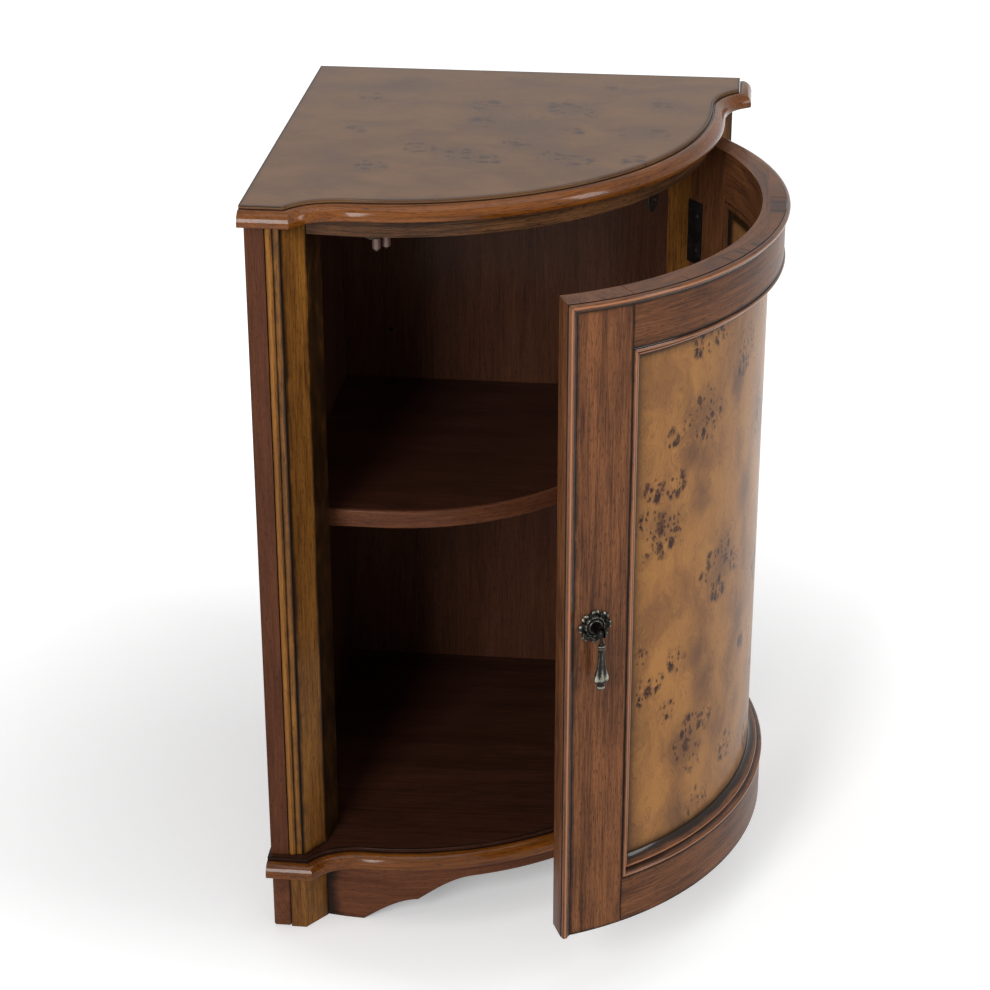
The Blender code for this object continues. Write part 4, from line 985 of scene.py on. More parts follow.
class CABINET_OT_plinth(bpy.types.Operator):
    """Model the foot blocks and plinth boards, and finish the glue block"""
    bl_idname = "cabinet.plinth"
    bl_label = "Plinth"

    def execute(self, context):
        top = under_base() - GAP
        for side, shift in (("left", 0.2), ("right", 1.1)):
            bm = new_bmesh()
            outline = [tuple(p) for p in pilaster_outline(False)]
            prism(bm, on_side(side, outline), graded(0.0, top))
            soften(bm, 0.0026, 4, 50)
            finish_piece(
                side + "_canted_foot", bm, "cabinet", "stained_birch_pilaster",
                side + "_foot_block", upright(shift),
                near_edges(*pilaster_edges(side, False, -0.02, top + 0.001)))
            build_plinth_board(side, top)
        dress_node("corner_glue_block", "planed_beech")
        return {"FINISHED"}


def build_plinth_board(side, top):
    """A plinth board with feet at both ends, its corners rounded over."""
    s = sizes()
    foot = 0.070
    ease = 0.016
    left = side == "left"
    start = s.panel_reveal if left else s.panel_inside + GAP
    end = s.front_plane
    outline = [
        (start, 0.0), (start + foot, 0.0), (start + foot + ease, ease), (end - foot - ease, ease),
        (end - foot, 0.0), (end, 0.0), (end, top), (start, top)]
    stations = [
        Matrix(((0, 0, 1, depth), (-1, 0, 0, 0), (0, 1, 0, 0), (0, 0, 0, 1))) if left
        else Matrix(((1, 0, 0, 0), (0, 0, -1, -depth), (0, 1, 0, 0), (0, 0, 0, 1)))
        for depth in (s.panel_reveal, s.panel_inside)]
    bm = new_bmesh()
    sweep(bm, outline, stations)
    soften(bm, 0.0026, 4)
    # Glaze and painted shade towards the top, under the base board
    finish_piece(
        side + "_footed_plinth_board", bm, "cabinet", "stained_birch_case",
        side + "_plinth_board", level_grain((1, -1), 0.3), near_edges((lambda co: top - co.z, 0.003)))


# Shelf
def shelf_front(radius):
    """The front of the shelf in plan, out to its straight ends beside the side panels."""
    side = sizes().panel_inside + SHELF_GAP
    centre = sizes().arc_centre
    arc = [on_arc(radius, a) for a in spread(-45, 45, 1.5)]
    return [Vector((side, -centre - radius))] + arc + [Vector((centre + radius, -side))]


class CABINET_OT_shelf(bpy.types.Operator):
    """Model the shelf and its solid edge band, and finish the shelf pins"""
    bl_idname = "cabinet.shelf"
    bl_label = "Shelf"

    def execute(self, context):
        s = sizes()
        side = s.panel_inside + SHELF_GAP
        bottom = s.shelf_top - s.shelf_thickness
        inner = shelf_front(s.shelf_radius - s.shelf_band - GAP) + [Vector((side, -side))]
        bm = new_bmesh()
        prism(bm, inner, [bottom, s.shelf_top])
        finish_piece(
            "shelf_panel", bm, "cabinet", "stained_birch_inside",
            "shelf_board", level_grain((1, 0), 3.1))
        bm = new_bmesh()
        outline = shelf_front(s.shelf_radius) + list(reversed(shelf_front(s.shelf_radius - s.shelf_band)))
        prism(bm, outline, [bottom, s.shelf_top])
        soften(bm, 0.0016, 3, 50)
        finish_piece(
            "shelf_solid_edge", bm, "cabinet", "stained_birch_case",
            "shelf_edge_band", unrolled(s.shelf_radius, True, 4.4))
        for wall in ("left", "right"):
            for number in (1, 2):
                dress_node("shelf_pin_%s_%d" % (wall, number), "zinc_plated_steel")
        return {"FINISHED"}


# Door
def frame_glaze_and_shade(first, last, bottom, top, joints):
    """Glaze and painted shade along a door frame piece's edges: a thin line at its joints, and softer at the
    others.
    """
    radius = sizes().front_radius
    reach = {name: 0.0009 if name in joints else 0.0024 for name in ("first", "last", "bottom", "top")}
    edge = door_edge()
    wide = sizes().edge_bead_width
    bead = {
        "first": wide * (first == -edge), "last": wide * (last == edge),
        "top": wide * (top == sizes().door_top)}
    lines = near_edges(
        (lambda co: math.radians(around_front(co) - first) * radius - bead["first"], reach["first"]),
        (lambda co: math.radians(last - around_front(co)) * radius - bead["last"], reach["last"]),
        (lambda co: co.z - bottom, reach["bottom"]),
        (lambda co: top - co.z - bead["top"], reach["top"]))
    centre = sizes().arc_centre

    def glaze_and_shade(co):
        depth = radius - math.hypot(co.x - centre, co.y + centre)
        facing_out = depth < 0.00012 and bottom + 0.00006 < co.z < top - 0.00006
        return lines(co) * (1.0 if facing_out else 0.1)
    return glaze_and_shade


def around_front(co):
    """The angle of a point on the front, from the corner's diagonal."""
    centre = sizes().arc_centre
    return math.degrees(math.atan2(co.y + centre, co.x - centre)) + 45


class CABINET_OT_door_frame(bpy.types.Operator):
    """Model the door's curved stiles and rails"""
    bl_idname = "cabinet.door_frame"
    bl_label = "Door Frame"

    def execute(self, context):
        s = sizes()
        edge = door_edge()
        inside = stile_inside()
        gap = arc_span(GAP)
        low, high = field()
        pieces = (
            ("free_stile", -edge, -inside - gap, s.door_bottom, s.door_top, False, 0.0, ("last",)),
            ("hinge_stile", inside + gap, edge, s.door_bottom, s.door_top, False, 0.8, ("first",)),
            ("top_rail", -inside, inside, high + GAP, s.door_top, True, 1.6, ("first", "last")),
            ("bottom_rail", -inside, inside, s.door_bottom, low - GAP, True, 2.5, ("first", "last")))
        for name, first, last, bottom, top, along, shift, joints in pieces:
            bm = new_bmesh()
            reach = math.radians(last - first) * s.front_radius
            angles = [first + math.degrees(away / s.front_radius) for away in graded(0.0, reach)]
            middle = [a for a in spread(first, last, 1.1) if angles[9] < a < angles[-10]]
            outline = ring_part(s.front_radius, door_back(), sorted(angles + middle))
            prism(bm, outline, graded(bottom, top))
            soften(bm, 0.0008, 2, 60)
            finish_piece(
                "curved_" + name, bm, "door", "stained_oak_frame", "door_" + name,
                unrolled(s.front_radius, along, shift), frame_glaze_and_shade(first, last, bottom, top, joints),
                door_turn())
        return {"FINISHED"}


# Burl clusters and shaded patches of the door, in mm: height, way round the arc from its middle, radius
DOOR_CLUSTERS = (
    (648, -125, 8), (648, -96, 6), (618, -42, 10), (603, -50, 6), (590, -118, 8), (573, -97, 7),
    (573, -142, 7), (565, -112, 7.5), (555, -130, 5), (568, -163, 5), (522, -159, 8), (522, -186, 6.5),
    (490, -190, 7.5), (483, -164, 8.5), (468, -172, 8), (468, -151, 4.5), (455, -194, 4.5),
    (425, -68, 9), (423, -95, 6.5), (408, -113, 4.5), (390, -85, 8), (403, -50, 6), (358, -196, 4.5),
    (340, -151, 7), (325, -171, 4.5), (318, -188, 7.5), (290, -160, 6), (258, -126, 8.5), (258, -102, 6),
    (240, -140, 7), (223, -121, 7.5), (205, -56, 8.5), (170, -108, 9), (302, -22, 6), (530, 20, 12),
    (360, 30, 12), (240, 50, 13), (610, 90, 13), (470, 100, 12), (400, 170, 13), (290, 140, 12),
    (180, 180, 11), (560, 180, 12), (180, 20, 10))
DOOR_SHADES = (
    (333, -118, 18), (300, -109, 26), (233, -74, 24), (243, -32, 22), (490, -121, 17), (542, -134, 19),
    (588, -60, 24), (170, -139, 28), (580, -120, 28), (485, -175, 26), (415, -77, 30), (240, -129, 32),
    (345, -30, 30), (470, -30, 32), (520, 40, 30), (300, 70, 34), (420, 150, 34), (590, 130, 32),
    (210, 150, 32))


class CABINET_OT_door_panel(bpy.types.Operator):
    """Model the curved burl panel of the door"""
    bl_idname = "cabinet.door_panel"
    bl_label = "Door Panel"

    def execute(self, context):
        s = sizes()
        low, high = field()
        edge = stile_inside() - arc_span(GAP)
        back = panel_face() - s.panel_thickness
        facet = 0.8
        row = 0.0045
        bm = new_bmesh()
        outline = ring_part(panel_face(), back, spread(-edge, edge, facet))
        prism(bm, outline, spread(low + GAP, high - GAP, row))
        sight = s.sticking_width - 0.0008
        # Glaze and painted shade where the panel runs in under the sticking, widest along the bottom
        glaze_and_shade = near_edges(
            (lambda co: co.z - low - sight, 0.0075), (lambda co: high - sight - co.z, 0.0045),
            (lambda co: math.radians(edge - abs(around_front(co))) * s.front_radius - sight, 0.0050))
        panel = finish_piece(
            "curved_burl_panel", bm, "door", "burl_veneer_door", "door_panel",
            panel_grain, glaze_and_shade, door_turn())
        mark(panel, "figure", DOOR_CLUSTERS, 1.7)
        mark(panel, "shade", DOOR_SHADES)
        return {"FINISHED"}


def panel_grain(co):
    radius = sizes().front_radius
    return Vector((co.z, math.radians(around_front(co)) * radius, 0.0))


# The door's sticking: across from the frame and out from its face, both in mm, and glaze with
# painted shade, below zero a painted highlight on a crown. Its beads and steps lie between a quirk
# beside the frame and a cove.
STICKING = (
    (0.7, -0.4, 1.0), (1.0, 0.6, 0.5), (1.7, 1.2, 0.1), (2.7, 1.4, -0.5), (3.7, 1.1, 0.0), (4.4, 0.4, 0.1),
    (5.0, -1.2, 0.4), (5.4, -3.0, 0.7), (6.0, -4.6, 0.9), (6.7, -4.7, 0.5), (7.3, -4.2, 0.1),
    (8.2, -4.1, -0.6), (9.1, -4.6, 0.0), (9.7, -5.8, 0.2), (10.2, -7.6, 0.45), (11.0, -9.4, 0.75),
    (12.2, -11.0, 0.85), (13.4, -12.2, 0.9))
# The door's edge bead: shares of its width and of its height, and glaze with painted shade, darkest in the
# quirk, below zero a painted highlight on the crown
EDGE_BEAD = (
    (0.08, 0.0, 0.4), (0.08, 0.35, 0.2), (0.13, 0.68, 0.05), (0.24, 0.92, 0.0), (0.38, 1.0, -0.6),
    (0.52, 0.94, 0.0), (0.65, 0.76, 0.1), (0.74, 0.52, 0.5), (0.79, 0.30, 0.9), (0.86, 0.24, 0.6),
    (0.95, 0.16, 0.7), (1.0, 0.0, 1.0))


def sticking_section():
    s = sizes()
    face = s.front_radius
    seat = panel_face() + GAP
    cut = [(across / 1000, face + out / 1000, held) for across, out, held in STICKING]
    return [(GAP, seat, 1.0), (GAP, face - 0.0006, 1.0)] + cut + [
        (s.sticking_width, seat + 0.0002, 1.0), (s.sticking_width, seat, 1.0)]


def edge_bead_section():
    s = sizes()
    seat = s.front_radius + GAP
    proud = s.edge_bead_proud - GAP
    return [(s.edge_bead_width * across, seat + proud * rise, held) for across, rise, held in EDGE_BEAD]


def back_bead_section():
    """A quarter-round bead that holds the panel from behind."""
    s = sizes()
    seat = panel_face() - s.panel_thickness - GAP
    near = door_back() + (seat - door_back()) * 0.15
    section = [(GAP, seat, 1.0), (GAP, near, 0.9), (0.0009, near, 0.4)]
    for k, sine, cosine in arc_steps(6):
        section.append((0.0015 + 0.0065 * sine, near + (seat - near) * 0.65 * (1 - cosine), 0.1 + 0.12 * k))
    section.append((0.008, seat, 1.0))
    return section


def tilted_station(angle, height, up, lean):
    """A radial station for a section of across and radius, its end cut as a mitre by lean."""
    turn = math.radians(angle - 45)
    out = Vector((math.cos(turn), math.sin(turn)))
    run = Vector((-math.sin(turn), math.cos(turn)))
    centre = sizes().arc_centre
    start = MITRE_GAP * (1 if lean > 0 else -1 if lean < 0 else 0)
    return Matrix((
        (lean * run.x, out.x, run.x, centre + start * run.x),
        (lean * run.y, out.y, run.y, -centre + start * run.y),
        (up, 0, 0, height),
        (0, 0, 0, 1)))


def curved_run(name, node, section, edge, height, up, shift):
    """A moulding along a rail, mitred at both ends. It grows from its height, up or down."""
    clear = arc_span(max(p[0] for p in section)) + 0.4
    stations = [tilted_station(-edge, height, up, 1)]
    stations += [tilted_station(a, height, up, 0) for a in spread(-edge + clear, edge - clear, FACET)]
    stations.append(tilted_station(edge, height, up, -1))
    bm = new_bmesh()
    sweep(bm, section, stations)
    finish_piece(
        name, bm, "door", "stained_oak_moulding", node,
        unrolled(sizes().front_radius, True, shift), turn=door_turn())


def upright_run(name, node, section, edge, bottom, top, side, shift, foot_slope=1, cuts=()):
    """A moulding along a stile, left out at the cuts and mitred at its top.

    side is -1 at the free edge and 1 at the hinges. foot_slope is 1 for a mitred foot, 0 for a
    square one.
    """
    plan = [(*on_arc(p[1], side * (edge - arc_span(p[0]))), p[2]) for p in section]
    corner = on_arc(sizes().front_radius, side * edge)
    turn = math.radians(side * edge - 45)
    inward = Vector((math.sin(turn), -math.cos(turn))) * side
    start, end = [
        Matrix((
            (1, 0, 0, 0), (0, 1, 0, 0),
            (inward.x * slope, inward.y * slope, 1, height + slope * MITRE_GAP - inward.dot(corner) * slope),
            (0, 0, 0, 1)))
        for height, slope in ((bottom, foot_slope), (top, -1))]
    bm = new_bmesh()
    for low, high in cuts:
        sweep(bm, plan, [start, level(low)])
        start = level(high)
    sweep(bm, plan, [start, end])
    finish_piece(
        name, bm, "door", "stained_oak_moulding", node,
        unrolled(sizes().front_radius, False, shift), turn=door_turn())


class CABINET_OT_door_mouldings(bpy.types.Operator):
    """Model the mitred mouldings round the door's panel and edge"""
    bl_idname = "cabinet.door_mouldings"
    bl_label = "Door Mouldings"

    def execute(self, context):
        s = sizes()
        low, high = field()
        inside = stile_inside()
        for word, title, section in (
                ("sticking", "beaded_sticking", sticking_section()),
                ("back_bead", "quarter_round_back_bead", back_bead_section())):
            for end, height, up, shift in (("top", high, -1, 0.3), ("bottom", low, 1, 0.9)):
                curved_run(
                    "%s_%s" % (title, end), "door_%s_%s" % (word, end), section, inside, height, up, shift)
            for end, side, shift in (("free", -1, 1.4), ("hinge", 1, 2.2)):
                upright_run(
                    "%s_%s" % (title, end), "door_%s_%s" % (word, end), section, inside, low, high,
                    side, shift)
        section = edge_bead_section()
        edge = door_edge()
        curved_run("edge_bead_along_top", "door_edge_bead_top", section, edge, s.door_top, -1, 3.3)
        clearance = 0.0012
        half = s.hinge_length / 2 + clearance
        middles = (s.door_bottom + s.hinge_inset, s.door_top - s.hinge_inset)
        gains = [(middle - half, middle + half) for middle in middles]
        for end, side, shift, cuts in (("free", -1, 3.9, ()), ("hinge", 1, 4.6, gains)):
            upright_run(
                "edge_bead_%s_side" % end, "door_edge_bead_" + end, section, edge, s.door_bottom, s.door_top,
                side, shift, 0, cuts)
        return {"FINISHED"}


def eased_copy(name, node, body, finish_name, ease, add=None):
    """A smooth copy of a CAD piece, its sharp edges eased."""
    bm = packed_copy(node)
    bmesh.ops.dissolve_limit(
        bm, angle_limit=math.radians(2), use_dissolve_boundaries=False, verts=bm.verts, edges=bm.edges,
        delimit=set())
    soften(bm, ease, 2, 38)
    if add:
        add(bm)
    finish_piece(name, bm, body, finish_name, node)


def grow_rings(bm, rings, segments, place=None):
    """Grow a round piece ring by ring along Z. A ring is two reaches, a height and how rubbed it is."""
    rubbed = bm.verts.layers.float["figure"]
    corners = bmesh.ops.create_circle(bm, cap_ends=True, segments=segments, radius=1)["verts"]
    edges = list({e for v in corners for e in v.link_edges})
    made = []
    size = (1, 1, 0)
    for number, (wide, deep, up, held) in enumerate(rings):
        if number:
            grown = bmesh.ops.extrude_edge_only(bm, edges=edges)["geom"]
            corners = [g for g in grown if isinstance(g, bmesh.types.BMVert)]
            edges = [g for g in grown if isinstance(g, bmesh.types.BMEdge) and set(g.verts) <= set(corners)]
        bmesh.ops.scale(bm, vec=(wide / size[0], deep / size[1], 1), verts=corners)
        bmesh.ops.translate(bm, vec=(0, 0, up - size[2]), verts=corners)
        for v in corners:
            v[rubbed] = held
        made += corners
        size = (wide, deep, up)
    bmesh.ops.edgeloop_fill(bm, edges=edges)
    if place:
        bmesh.ops.transform(bm, matrix=place, verts=made)
    return made


def facing(spot, out):
    """Places a piece grown along Z at a spot, pointing out."""
    return Matrix.Translation(spot) @ Vector(out).to_track_quat("Z", "Y").to_matrix().to_4x4()


# A screw's domed head: its radius and height in mm, and how rubbed. Its slot's half width and depth
SCREW_RINGS = ((3.1, -0.2, 0), (3.0, 0.3, 0), (2.2, 0.9, 0), (1.1, 1.2, 0), (0.3, 1.3, 0))
HALF_SLOT = 0.00035
SLOT_DEPTH = 0.0005


def in_metres(rings):
    """Round rings given in mm as grow_rings takes them."""
    return [(reach / 1000, reach / 1000, up / 1000, held) for reach, up, held in rings]


def add_screws(places):
    """Domed screw heads with a slot, each at a place."""
    def add(bm):
        for place in places:
            before = set(bm.verts)
            grow_rings(bm, in_metres(SCREW_RINGS), 20)
            for side in (-1, 1):
                new = [v for v in bm.verts if v not in before]
                edges = {e for v in new for e in v.link_edges}
                faces = {f for v in new for f in v.link_faces}
                bmesh.ops.bisect_plane(
                    bm, geom=new + list(edges) + list(faces), dist=0.000001,
                    plane_co=(0, side * HALF_SLOT, 0), plane_no=(0, 1, 0))
            new = [v for v in bm.verts if v not in before]
            slot = [
                f for f in {f for v in new for f in v.link_faces}
                if abs(f.calc_center_median().y) < 0.0003 and f.calc_center_median().z > 0.0004]
            sunk = bmesh.ops.extrude_face_region(bm, geom=slot)["geom"]
            bmesh.ops.delete(bm, geom=slot, context="FACES_ONLY")
            floor = [g for g in sunk if isinstance(g, bmesh.types.BMVert)]
            bmesh.ops.translate(bm, vec=(0, 0, -SLOT_DEPTH), verts=floor)
            bmesh.ops.transform(bm, matrix=place, verts=[v for v in bm.verts if v not in before])
    return add


def leaf_screws(middle):
    """Places of the screws on a hinge's door leaf, on the back of the door."""
    back = door_back() - GAP - LEAF
    angle = door_edge() - arc_span(SCREW_INSET, back)
    inward = Vector((0, 0)) - (on_arc(back, angle) - on_arc(0, angle))
    return [
        door_turn() @ facing((*on_arc(back, angle), middle + away), (*inward, 0))
        for away in (-SCREW_SPACING, SCREW_SPACING)]


class CABINET_OT_hardware(bpy.types.Operator):
    """Model the hinges, the catch and the stay bracket, their edges eased"""
    bl_idname = "cabinet.hardware"
    bl_label = "Hinges and Catch"

    def execute(self, context):
        s = sizes()
        black = "black_lacquered_steel"
        steel = "zinc_plated_steel"
        for word, middle in (
                ("upper", s.door_top - s.hinge_inset), ("lower", s.door_bottom + s.hinge_inset)):
            name = "hinge_%s_" % word
            eased_copy(name + "pilaster_leaf", name + "frame_leaf", "cabinet", black, 0.0003)
            eased_copy(
                name + "screwed_leaf", name + "door_leaf", "door", black, 0.0003,
                add_screws(leaf_screws(middle)))
            eased_copy(name + "turned_pin", name + "pin", "cabinet", black, 0.0003)
        eased_copy("folded_stay_bracket", "stay_bracket", "cabinet", black, 0.0004)
        eased_copy("pressed_catch_plate", "catch_base", "cabinet", steel, 0.0003)
        eased_copy("folded_strike", "catch_strike", "door", steel, 0.0003)
        for side in ("left", "right"):
            arm, roller = "catch_arm_" + side, "catch_roller_" + side
            eased_copy("sprung_arm_" + side, arm, arm, black, 0.00025)
            eased_copy("turned_roller_" + side, roller, roller, "moulded_nylon", 0.0006)
        dress_node("catch_block", "planed_beech")
        return {"FINISHED"}


def pull_place():
    """The pull's own space: from the rosette's centre, X out of the door, Y across it, Z up."""
    s = sizes()
    angle = -door_edge() + arc_span(s.pull_inset)
    return door_turn() @ Matrix.Translation((*on_arc(s.front_radius, angle), s.pull_height)) @ (
        Matrix.Rotation(math.radians(angle - 45), 4, "Z"))


# The rosette: share of its radius, height off the door in metres, and how rubbed. The drop: share of
# its length below the pin, its half width and half depth in mm, and how rubbed. Its rivet in mm.
ROSETTE_RINGS = (
    (0.93, 0.0003, 0.0), (1.00, 0.0006, 0.3), (1.01, 0.0012, 0.8), (0.97, 0.0019, 1.0), (0.90, 0.0026, 0.9),
    (0.84, 0.0027, 0.5), (0.77, 0.0018, 0.0), (0.68, 0.0012, 0.0), (0.62, 0.0019, 0.4), (0.57, 0.0026, 0.9),
    (0.52, 0.0025, 0.5), (0.48, 0.0017, 0.0), (0.45, 0.0018, 0.0), (0.42, 0.0029, 0.4), (0.38, 0.0034, 0.8),
    (0.30, 0.0034, 0.2))
DROP_RINGS = (
    (0.188, 1.9, 1.6, 0.0), (0.203, 3.2, 2.4, 0.5), (0.222, 3.7, 2.6, 1.0), (0.242, 3.2, 2.3, 0.2),
    (0.262, 3.7, 2.6, 0.9), (0.280, 3.0, 2.1, 0.1), (0.330, 2.9, 2.0, 0.3), (0.380, 3.0, 2.0, 0.3),
    (0.440, 3.2, 2.1, 0.3), (0.500, 3.5, 2.2, 0.3), (0.550, 3.9, 2.3, 0.3), (0.600, 4.5, 2.5, 0.3),
    (0.650, 5.3, 2.7, 0.4), (0.700, 6.3, 3.0, 0.5), (0.740, 7.1, 3.2, 0.7), (0.770, 7.6, 3.3, 0.9),
    (0.795, 7.8, 3.4, 1.0), (0.820, 7.5, 3.3, 0.8), (0.850, 6.5, 3.0, 0.3), (0.875, 4.6, 2.6, 0.0),
    (0.890, 3.2, 2.2, 0.0), (0.905, 3.3, 2.4, 0.3), (0.928, 4.0, 2.9, 0.9), (0.950, 4.0, 3.0, 0.9),
    (0.975, 3.1, 2.3, 0.6), (0.992, 1.6, 1.2, 0.5), (1.000, 0.6, 0.5, 0.5))
RIVET_RINGS = (
    (2.7, -0.6, 0.0), (2.7, 0.2, 0.5), (2.4, 0.55, 1.0), (2.0, 0.45, 0.8), (1.7, 0.1, 0.0), (1.3, 0.1, 0.0),
    (1.25, 0.5, 0.6), (0.95, 0.9, 1.0), (0.5, 1.1, 1.0), (0.15, 1.15, 1.0))


class CABINET_OT_pull(bpy.types.Operator):
    """Model the pull: a rosette of curled leaves, its post, and the fluted drop"""
    bl_idname = "cabinet.pull"
    bl_label = "Drop Pull"

    def execute(self, context):
        place = pull_place()
        reach = sizes().rosette_radius
        bm = new_bmesh()
        grow_rings(bm, [(reach * r, reach * r, up, held) for r, up, held in ROSETTE_RINGS], 128)
        curl_leaves(bm)
        bmesh.ops.transform(bm, matrix=place @ Matrix.Rotation(math.pi / 2, 4, "Y"), verts=bm.verts)
        finish_piece("leaf_rosette", bm, "door", "antiqued_brass", "pull_rosette")
        eased_copy("turned_post", "pull_post", "door", "antiqued_brass", 0.0003)
        build_drop(place)
        return {"FINISHED"}


def curl_leaves(bm):
    """Shape the rosette's rim into leaves, each with a hollow between two curled ribs."""
    s = sizes()
    rubbed = bm.verts.layers.float["figure"]
    for v in bm.verts:
        away = v.co.xy.length
        share = away / s.rosette_radius
        rim = min(1.0, max(0.0, (share - 0.5) / 0.35))
        turn = math.atan2(v.co.y, v.co.x) * s.rosette_lobes
        notch = (0.5 - 0.5 * math.cos(turn)) ** 3
        rib = 0.5 - 0.5 * math.cos(2 * turn)
        v.co.xy *= 1 - 0.17 * notch * rim
        top = 1.0 if v.co.z > 0.0008 else 0.0
        v.co.z += rim * top * (0.0006 * rib - 0.0007 * notch - 0.0003)
        v[rubbed] *= 1 - rim * 0.85 * notch - rim * 0.4 * (1 - rib)


def build_drop(place):
    """The fluted drop on its eye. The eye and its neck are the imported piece's own, cut off below."""
    s = sizes()
    pin = Vector(joint("pull_swing")["pos_m"])
    space = Matrix.Translation(pin) @ place.to_3x3().to_4x4()
    bm = packed_copy("pull_drop")
    cut = bmesh.ops.bisect_plane(
        bm, geom=bm.verts[:] + bm.edges[:] + bm.faces[:], dist=0.000001,
        plane_co=(0, 0, pin.z - s.drop_length * 0.195), plane_no=(0, 0, 1), clear_inner=True)
    bmesh.ops.edgeloop_fill(bm, edges=[g for g in cut["geom_cut"] if isinstance(g, bmesh.types.BMEdge)])
    drop = grow_rings(bm, [
        (deep / 1000, wide / 1000, -s.drop_length * share, held)
        for share, wide, deep, held in DROP_RINGS], 72)
    rubbed = bm.verts.layers.float["figure"]
    for v in drop:
        share = -v.co.z / s.drop_length
        if 0.27 < share < 0.86:
            fluted = min(1.0, (share - 0.27) / 0.03, (0.86 - share) / 0.08)
            flute = 0.5 - 0.5 * math.cos(6 * math.atan2(v.co.y * 0.55, v.co.x))
            v.co.xy *= 1 - 0.16 * flute * fluted
            v[rubbed] += fluted * (0.4 - 0.6 * flute)
    bmesh.ops.transform(bm, matrix=space, verts=drop)
    out = space.to_3x3() @ Vector((1, 0, 0))
    spot = space @ Vector((0.0029, 0, -s.drop_length * 0.775))
    grow_rings(bm, in_metres(RIVET_RINGS), 32, facing(spot, out))
    finish_piece("fluted_drop", bm, "pull_drop", "antiqued_brass", "pull_drop")


# Stage
class CABINET_OT_stage(bpy.types.Operator):
    """Set up the studio floor, the lights and the camera"""
    bl_idname = "cabinet.stage"
    bl_label = "Studio"

    def execute(self, context):
        build_floor()
        build_world()
        build_lamps()
        build_camera()
        return {"FINISHED"}


def build_floor():
    """A pale floor, wide enough to fill the view, that shows white but keeps the shadow."""
    bm = bmesh.new()
    bmesh.ops.create_grid(bm, x_segments=1, y_segments=1, size=6.0)
    bmesh.ops.translate(bm, vec=(0, 0, -0.0002), verts=bm.verts)
    mesh = bpy.data.meshes.new("studio_floor")
    bm.to_mesh(mesh)
    bm.free()
    floor = bpy.data.objects.new("studio_floor", mesh)
    bpy.context.scene.collection.objects.link(floor)
    make = Finish("matt_studio_paper")
    away = make.add("VectorMath", {0: make.place(), 1: (0.2, -0.3, 0.0)}, "Value", operation="DISTANCE")
    glow = make.maths("MULTIPLY", make.seen("Is Glossy Ray"), make.ease(away, 0.35, 1.25, 0.27, 0.75))
    mesh.materials.append(make.shade(colours().floor, 0.9, {
        "Specular IOR Level": 0.0, "Emission Color": (1, 1, 1, 1), "Emission Strength": glow}))


def build_world():
    """An even grey room that is white where the camera and reflections see it."""
    world = bpy.data.worlds.new("studio_room")
    bpy.context.scene.world = world
    world.use_nodes = True
    make = Nodes(world.node_tree)
    seen = make.seen("Is Glossy Ray", "Is Transmission Ray")
    make.fill(make.tree.nodes["Background"], {
        "Color": (1, 1, 1, 1), "Strength": make.carry(seen, start=0.34, end=1.0)})


def add_lamp(name, place, target, size, power):
    data = bpy.data.lights.new(name, "AREA")
    data.shape = "RECTANGLE"
    data.size = size[0]
    data.size_y = size[1]
    data.energy = power
    lamp = bpy.data.objects.new(name, data)
    lamp.location = place
    lamp.rotation_euler = (Vector(target) - Vector(place)).to_track_quat("-Z", "Y").to_euler()
    bpy.context.scene.collection.objects.link(lamp)


def build_lamps():
    """Two tall soft boxes, front left and right, that draw the highlights, and a weak one overhead."""
    target = (0.25, -0.30, 0.45)
    add_lamp("front_left_softbox", (-0.65, -3.2, 1.75), target, (0.8, 1.7), 66)
    add_lamp("right_softbox", (2.7, -1.0, 1.7), target, (0.6, 1.5), 26)
    add_lamp("overhead_softbox", (0.6, -0.7, 2.6), target, (1.8, 1.4), 12)


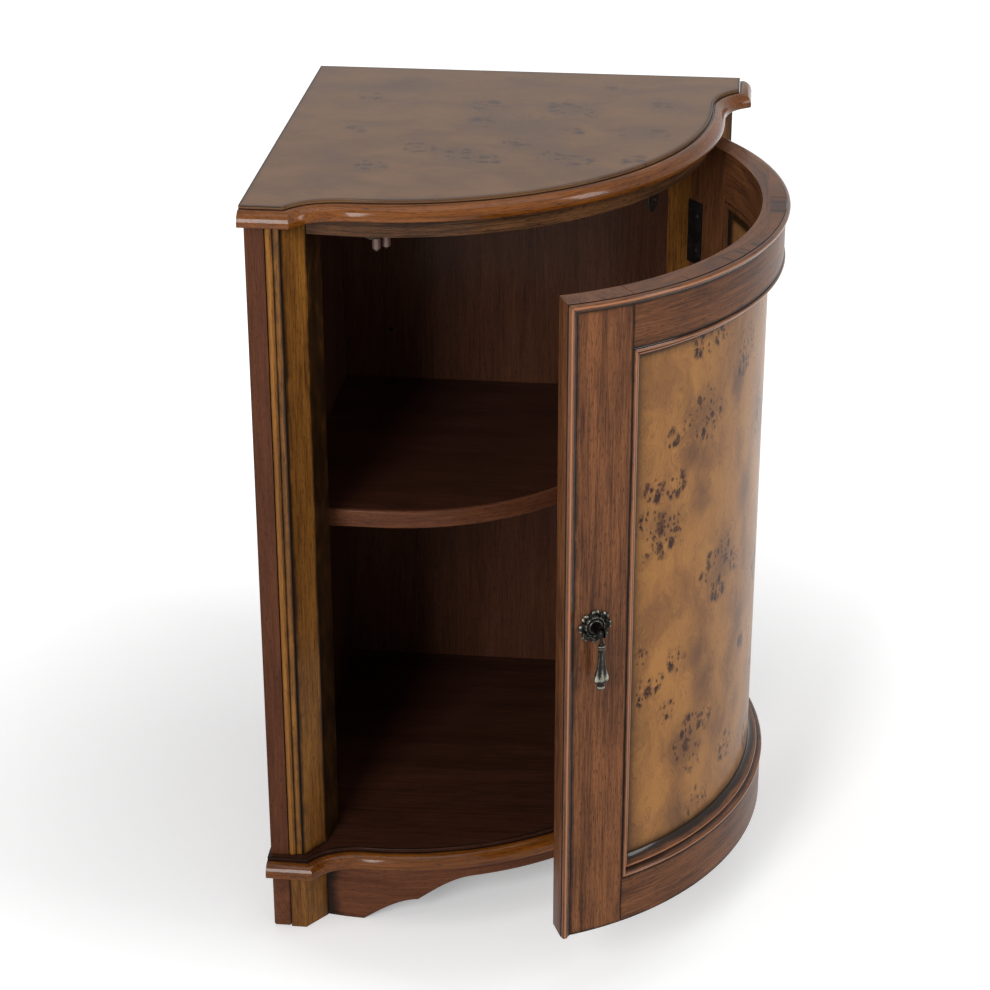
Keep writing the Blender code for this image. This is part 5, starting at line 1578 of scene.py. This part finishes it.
def build_camera():
    """The photograph's view: from above, a little left of the door."""
    yaw, pitch, roll = -0.1047, 0.4108, -0.0011
    focal_px = 2459.6
    picture_px = 990
    data = bpy.data.cameras.new("photo_camera")
    data.sensor_width = 36
    data.lens = focal_px * data.sensor_width / picture_px
    data.shift_y = -0.1212
    forward = Vector((math.sin(yaw) * math.cos(pitch), math.cos(yaw) * math.cos(pitch), -math.sin(pitch)))
    right = Vector((math.cos(yaw), -math.sin(yaw), 0))
    up = right.cross(forward)
    right, up = (
        right * math.cos(roll) + up * math.sin(roll), up * math.cos(roll) - right * math.sin(roll))
    place = Vector((0.4339, -2.4184, 1.4816))
    camera = bpy.data.objects.new("photo_camera", data)
    camera.matrix_world = Matrix((
        (right.x, up.x, -forward.x, place.x),
        (right.y, up.y, -forward.y, place.y),
        (right.z, up.z, -forward.z, place.z),
        (0, 0, 0, 1)))
    bpy.context.scene.collection.objects.link(camera)
    bpy.context.scene.camera = camera


OPERATORS = (
    CABINET_OT_boards, CABINET_OT_case, CABINET_OT_frieze, CABINET_OT_plinth, CABINET_OT_apron,
    CABINET_OT_shelf, CABINET_OT_door_frame, CABINET_OT_door_panel, CABINET_OT_door_mouldings,
    CABINET_OT_hardware, CABINET_OT_pull, CABINET_OT_stage)


class CABINET_PT_pieces(bpy.types.Panel):
    """Lists the cabinet's pieces"""
    bl_idname = "CABINET_PT_pieces"
    bl_label = "Corner Cabinet"
    bl_space_type = "VIEW_3D"
    bl_region_type = "UI"
    bl_category = "Cabinet"

    def draw(self, context):
        for operator in OPERATORS:
            self.layout.operator(operator.bl_idname)


CLASSES = (CabinetSizes, CabinetColours, *OPERATORS, CABINET_PT_pieces)


def register():
    for cls in CLASSES:
        bpy.utils.register_class(cls)
    bpy.types.Scene.cabinet_sizes = PointerProperty(type=CabinetSizes)
    bpy.types.Scene.cabinet_colours = PointerProperty(type=CabinetColours)


def unregister():
    del bpy.types.Scene.cabinet_colours
    del bpy.types.Scene.cabinet_sizes
    for cls in reversed(CLASSES):
        bpy.utils.unregister_class(cls)


def main():
    """Model every piece and set the stage."""
    register()
    for operator in OPERATORS:
        group, name = operator.bl_idname.split(".")
        getattr(getattr(bpy.ops, group), name)()
    bpy.context.scene.view_settings.view_transform = "Standard"


if __name__ == "__main__":
    main()
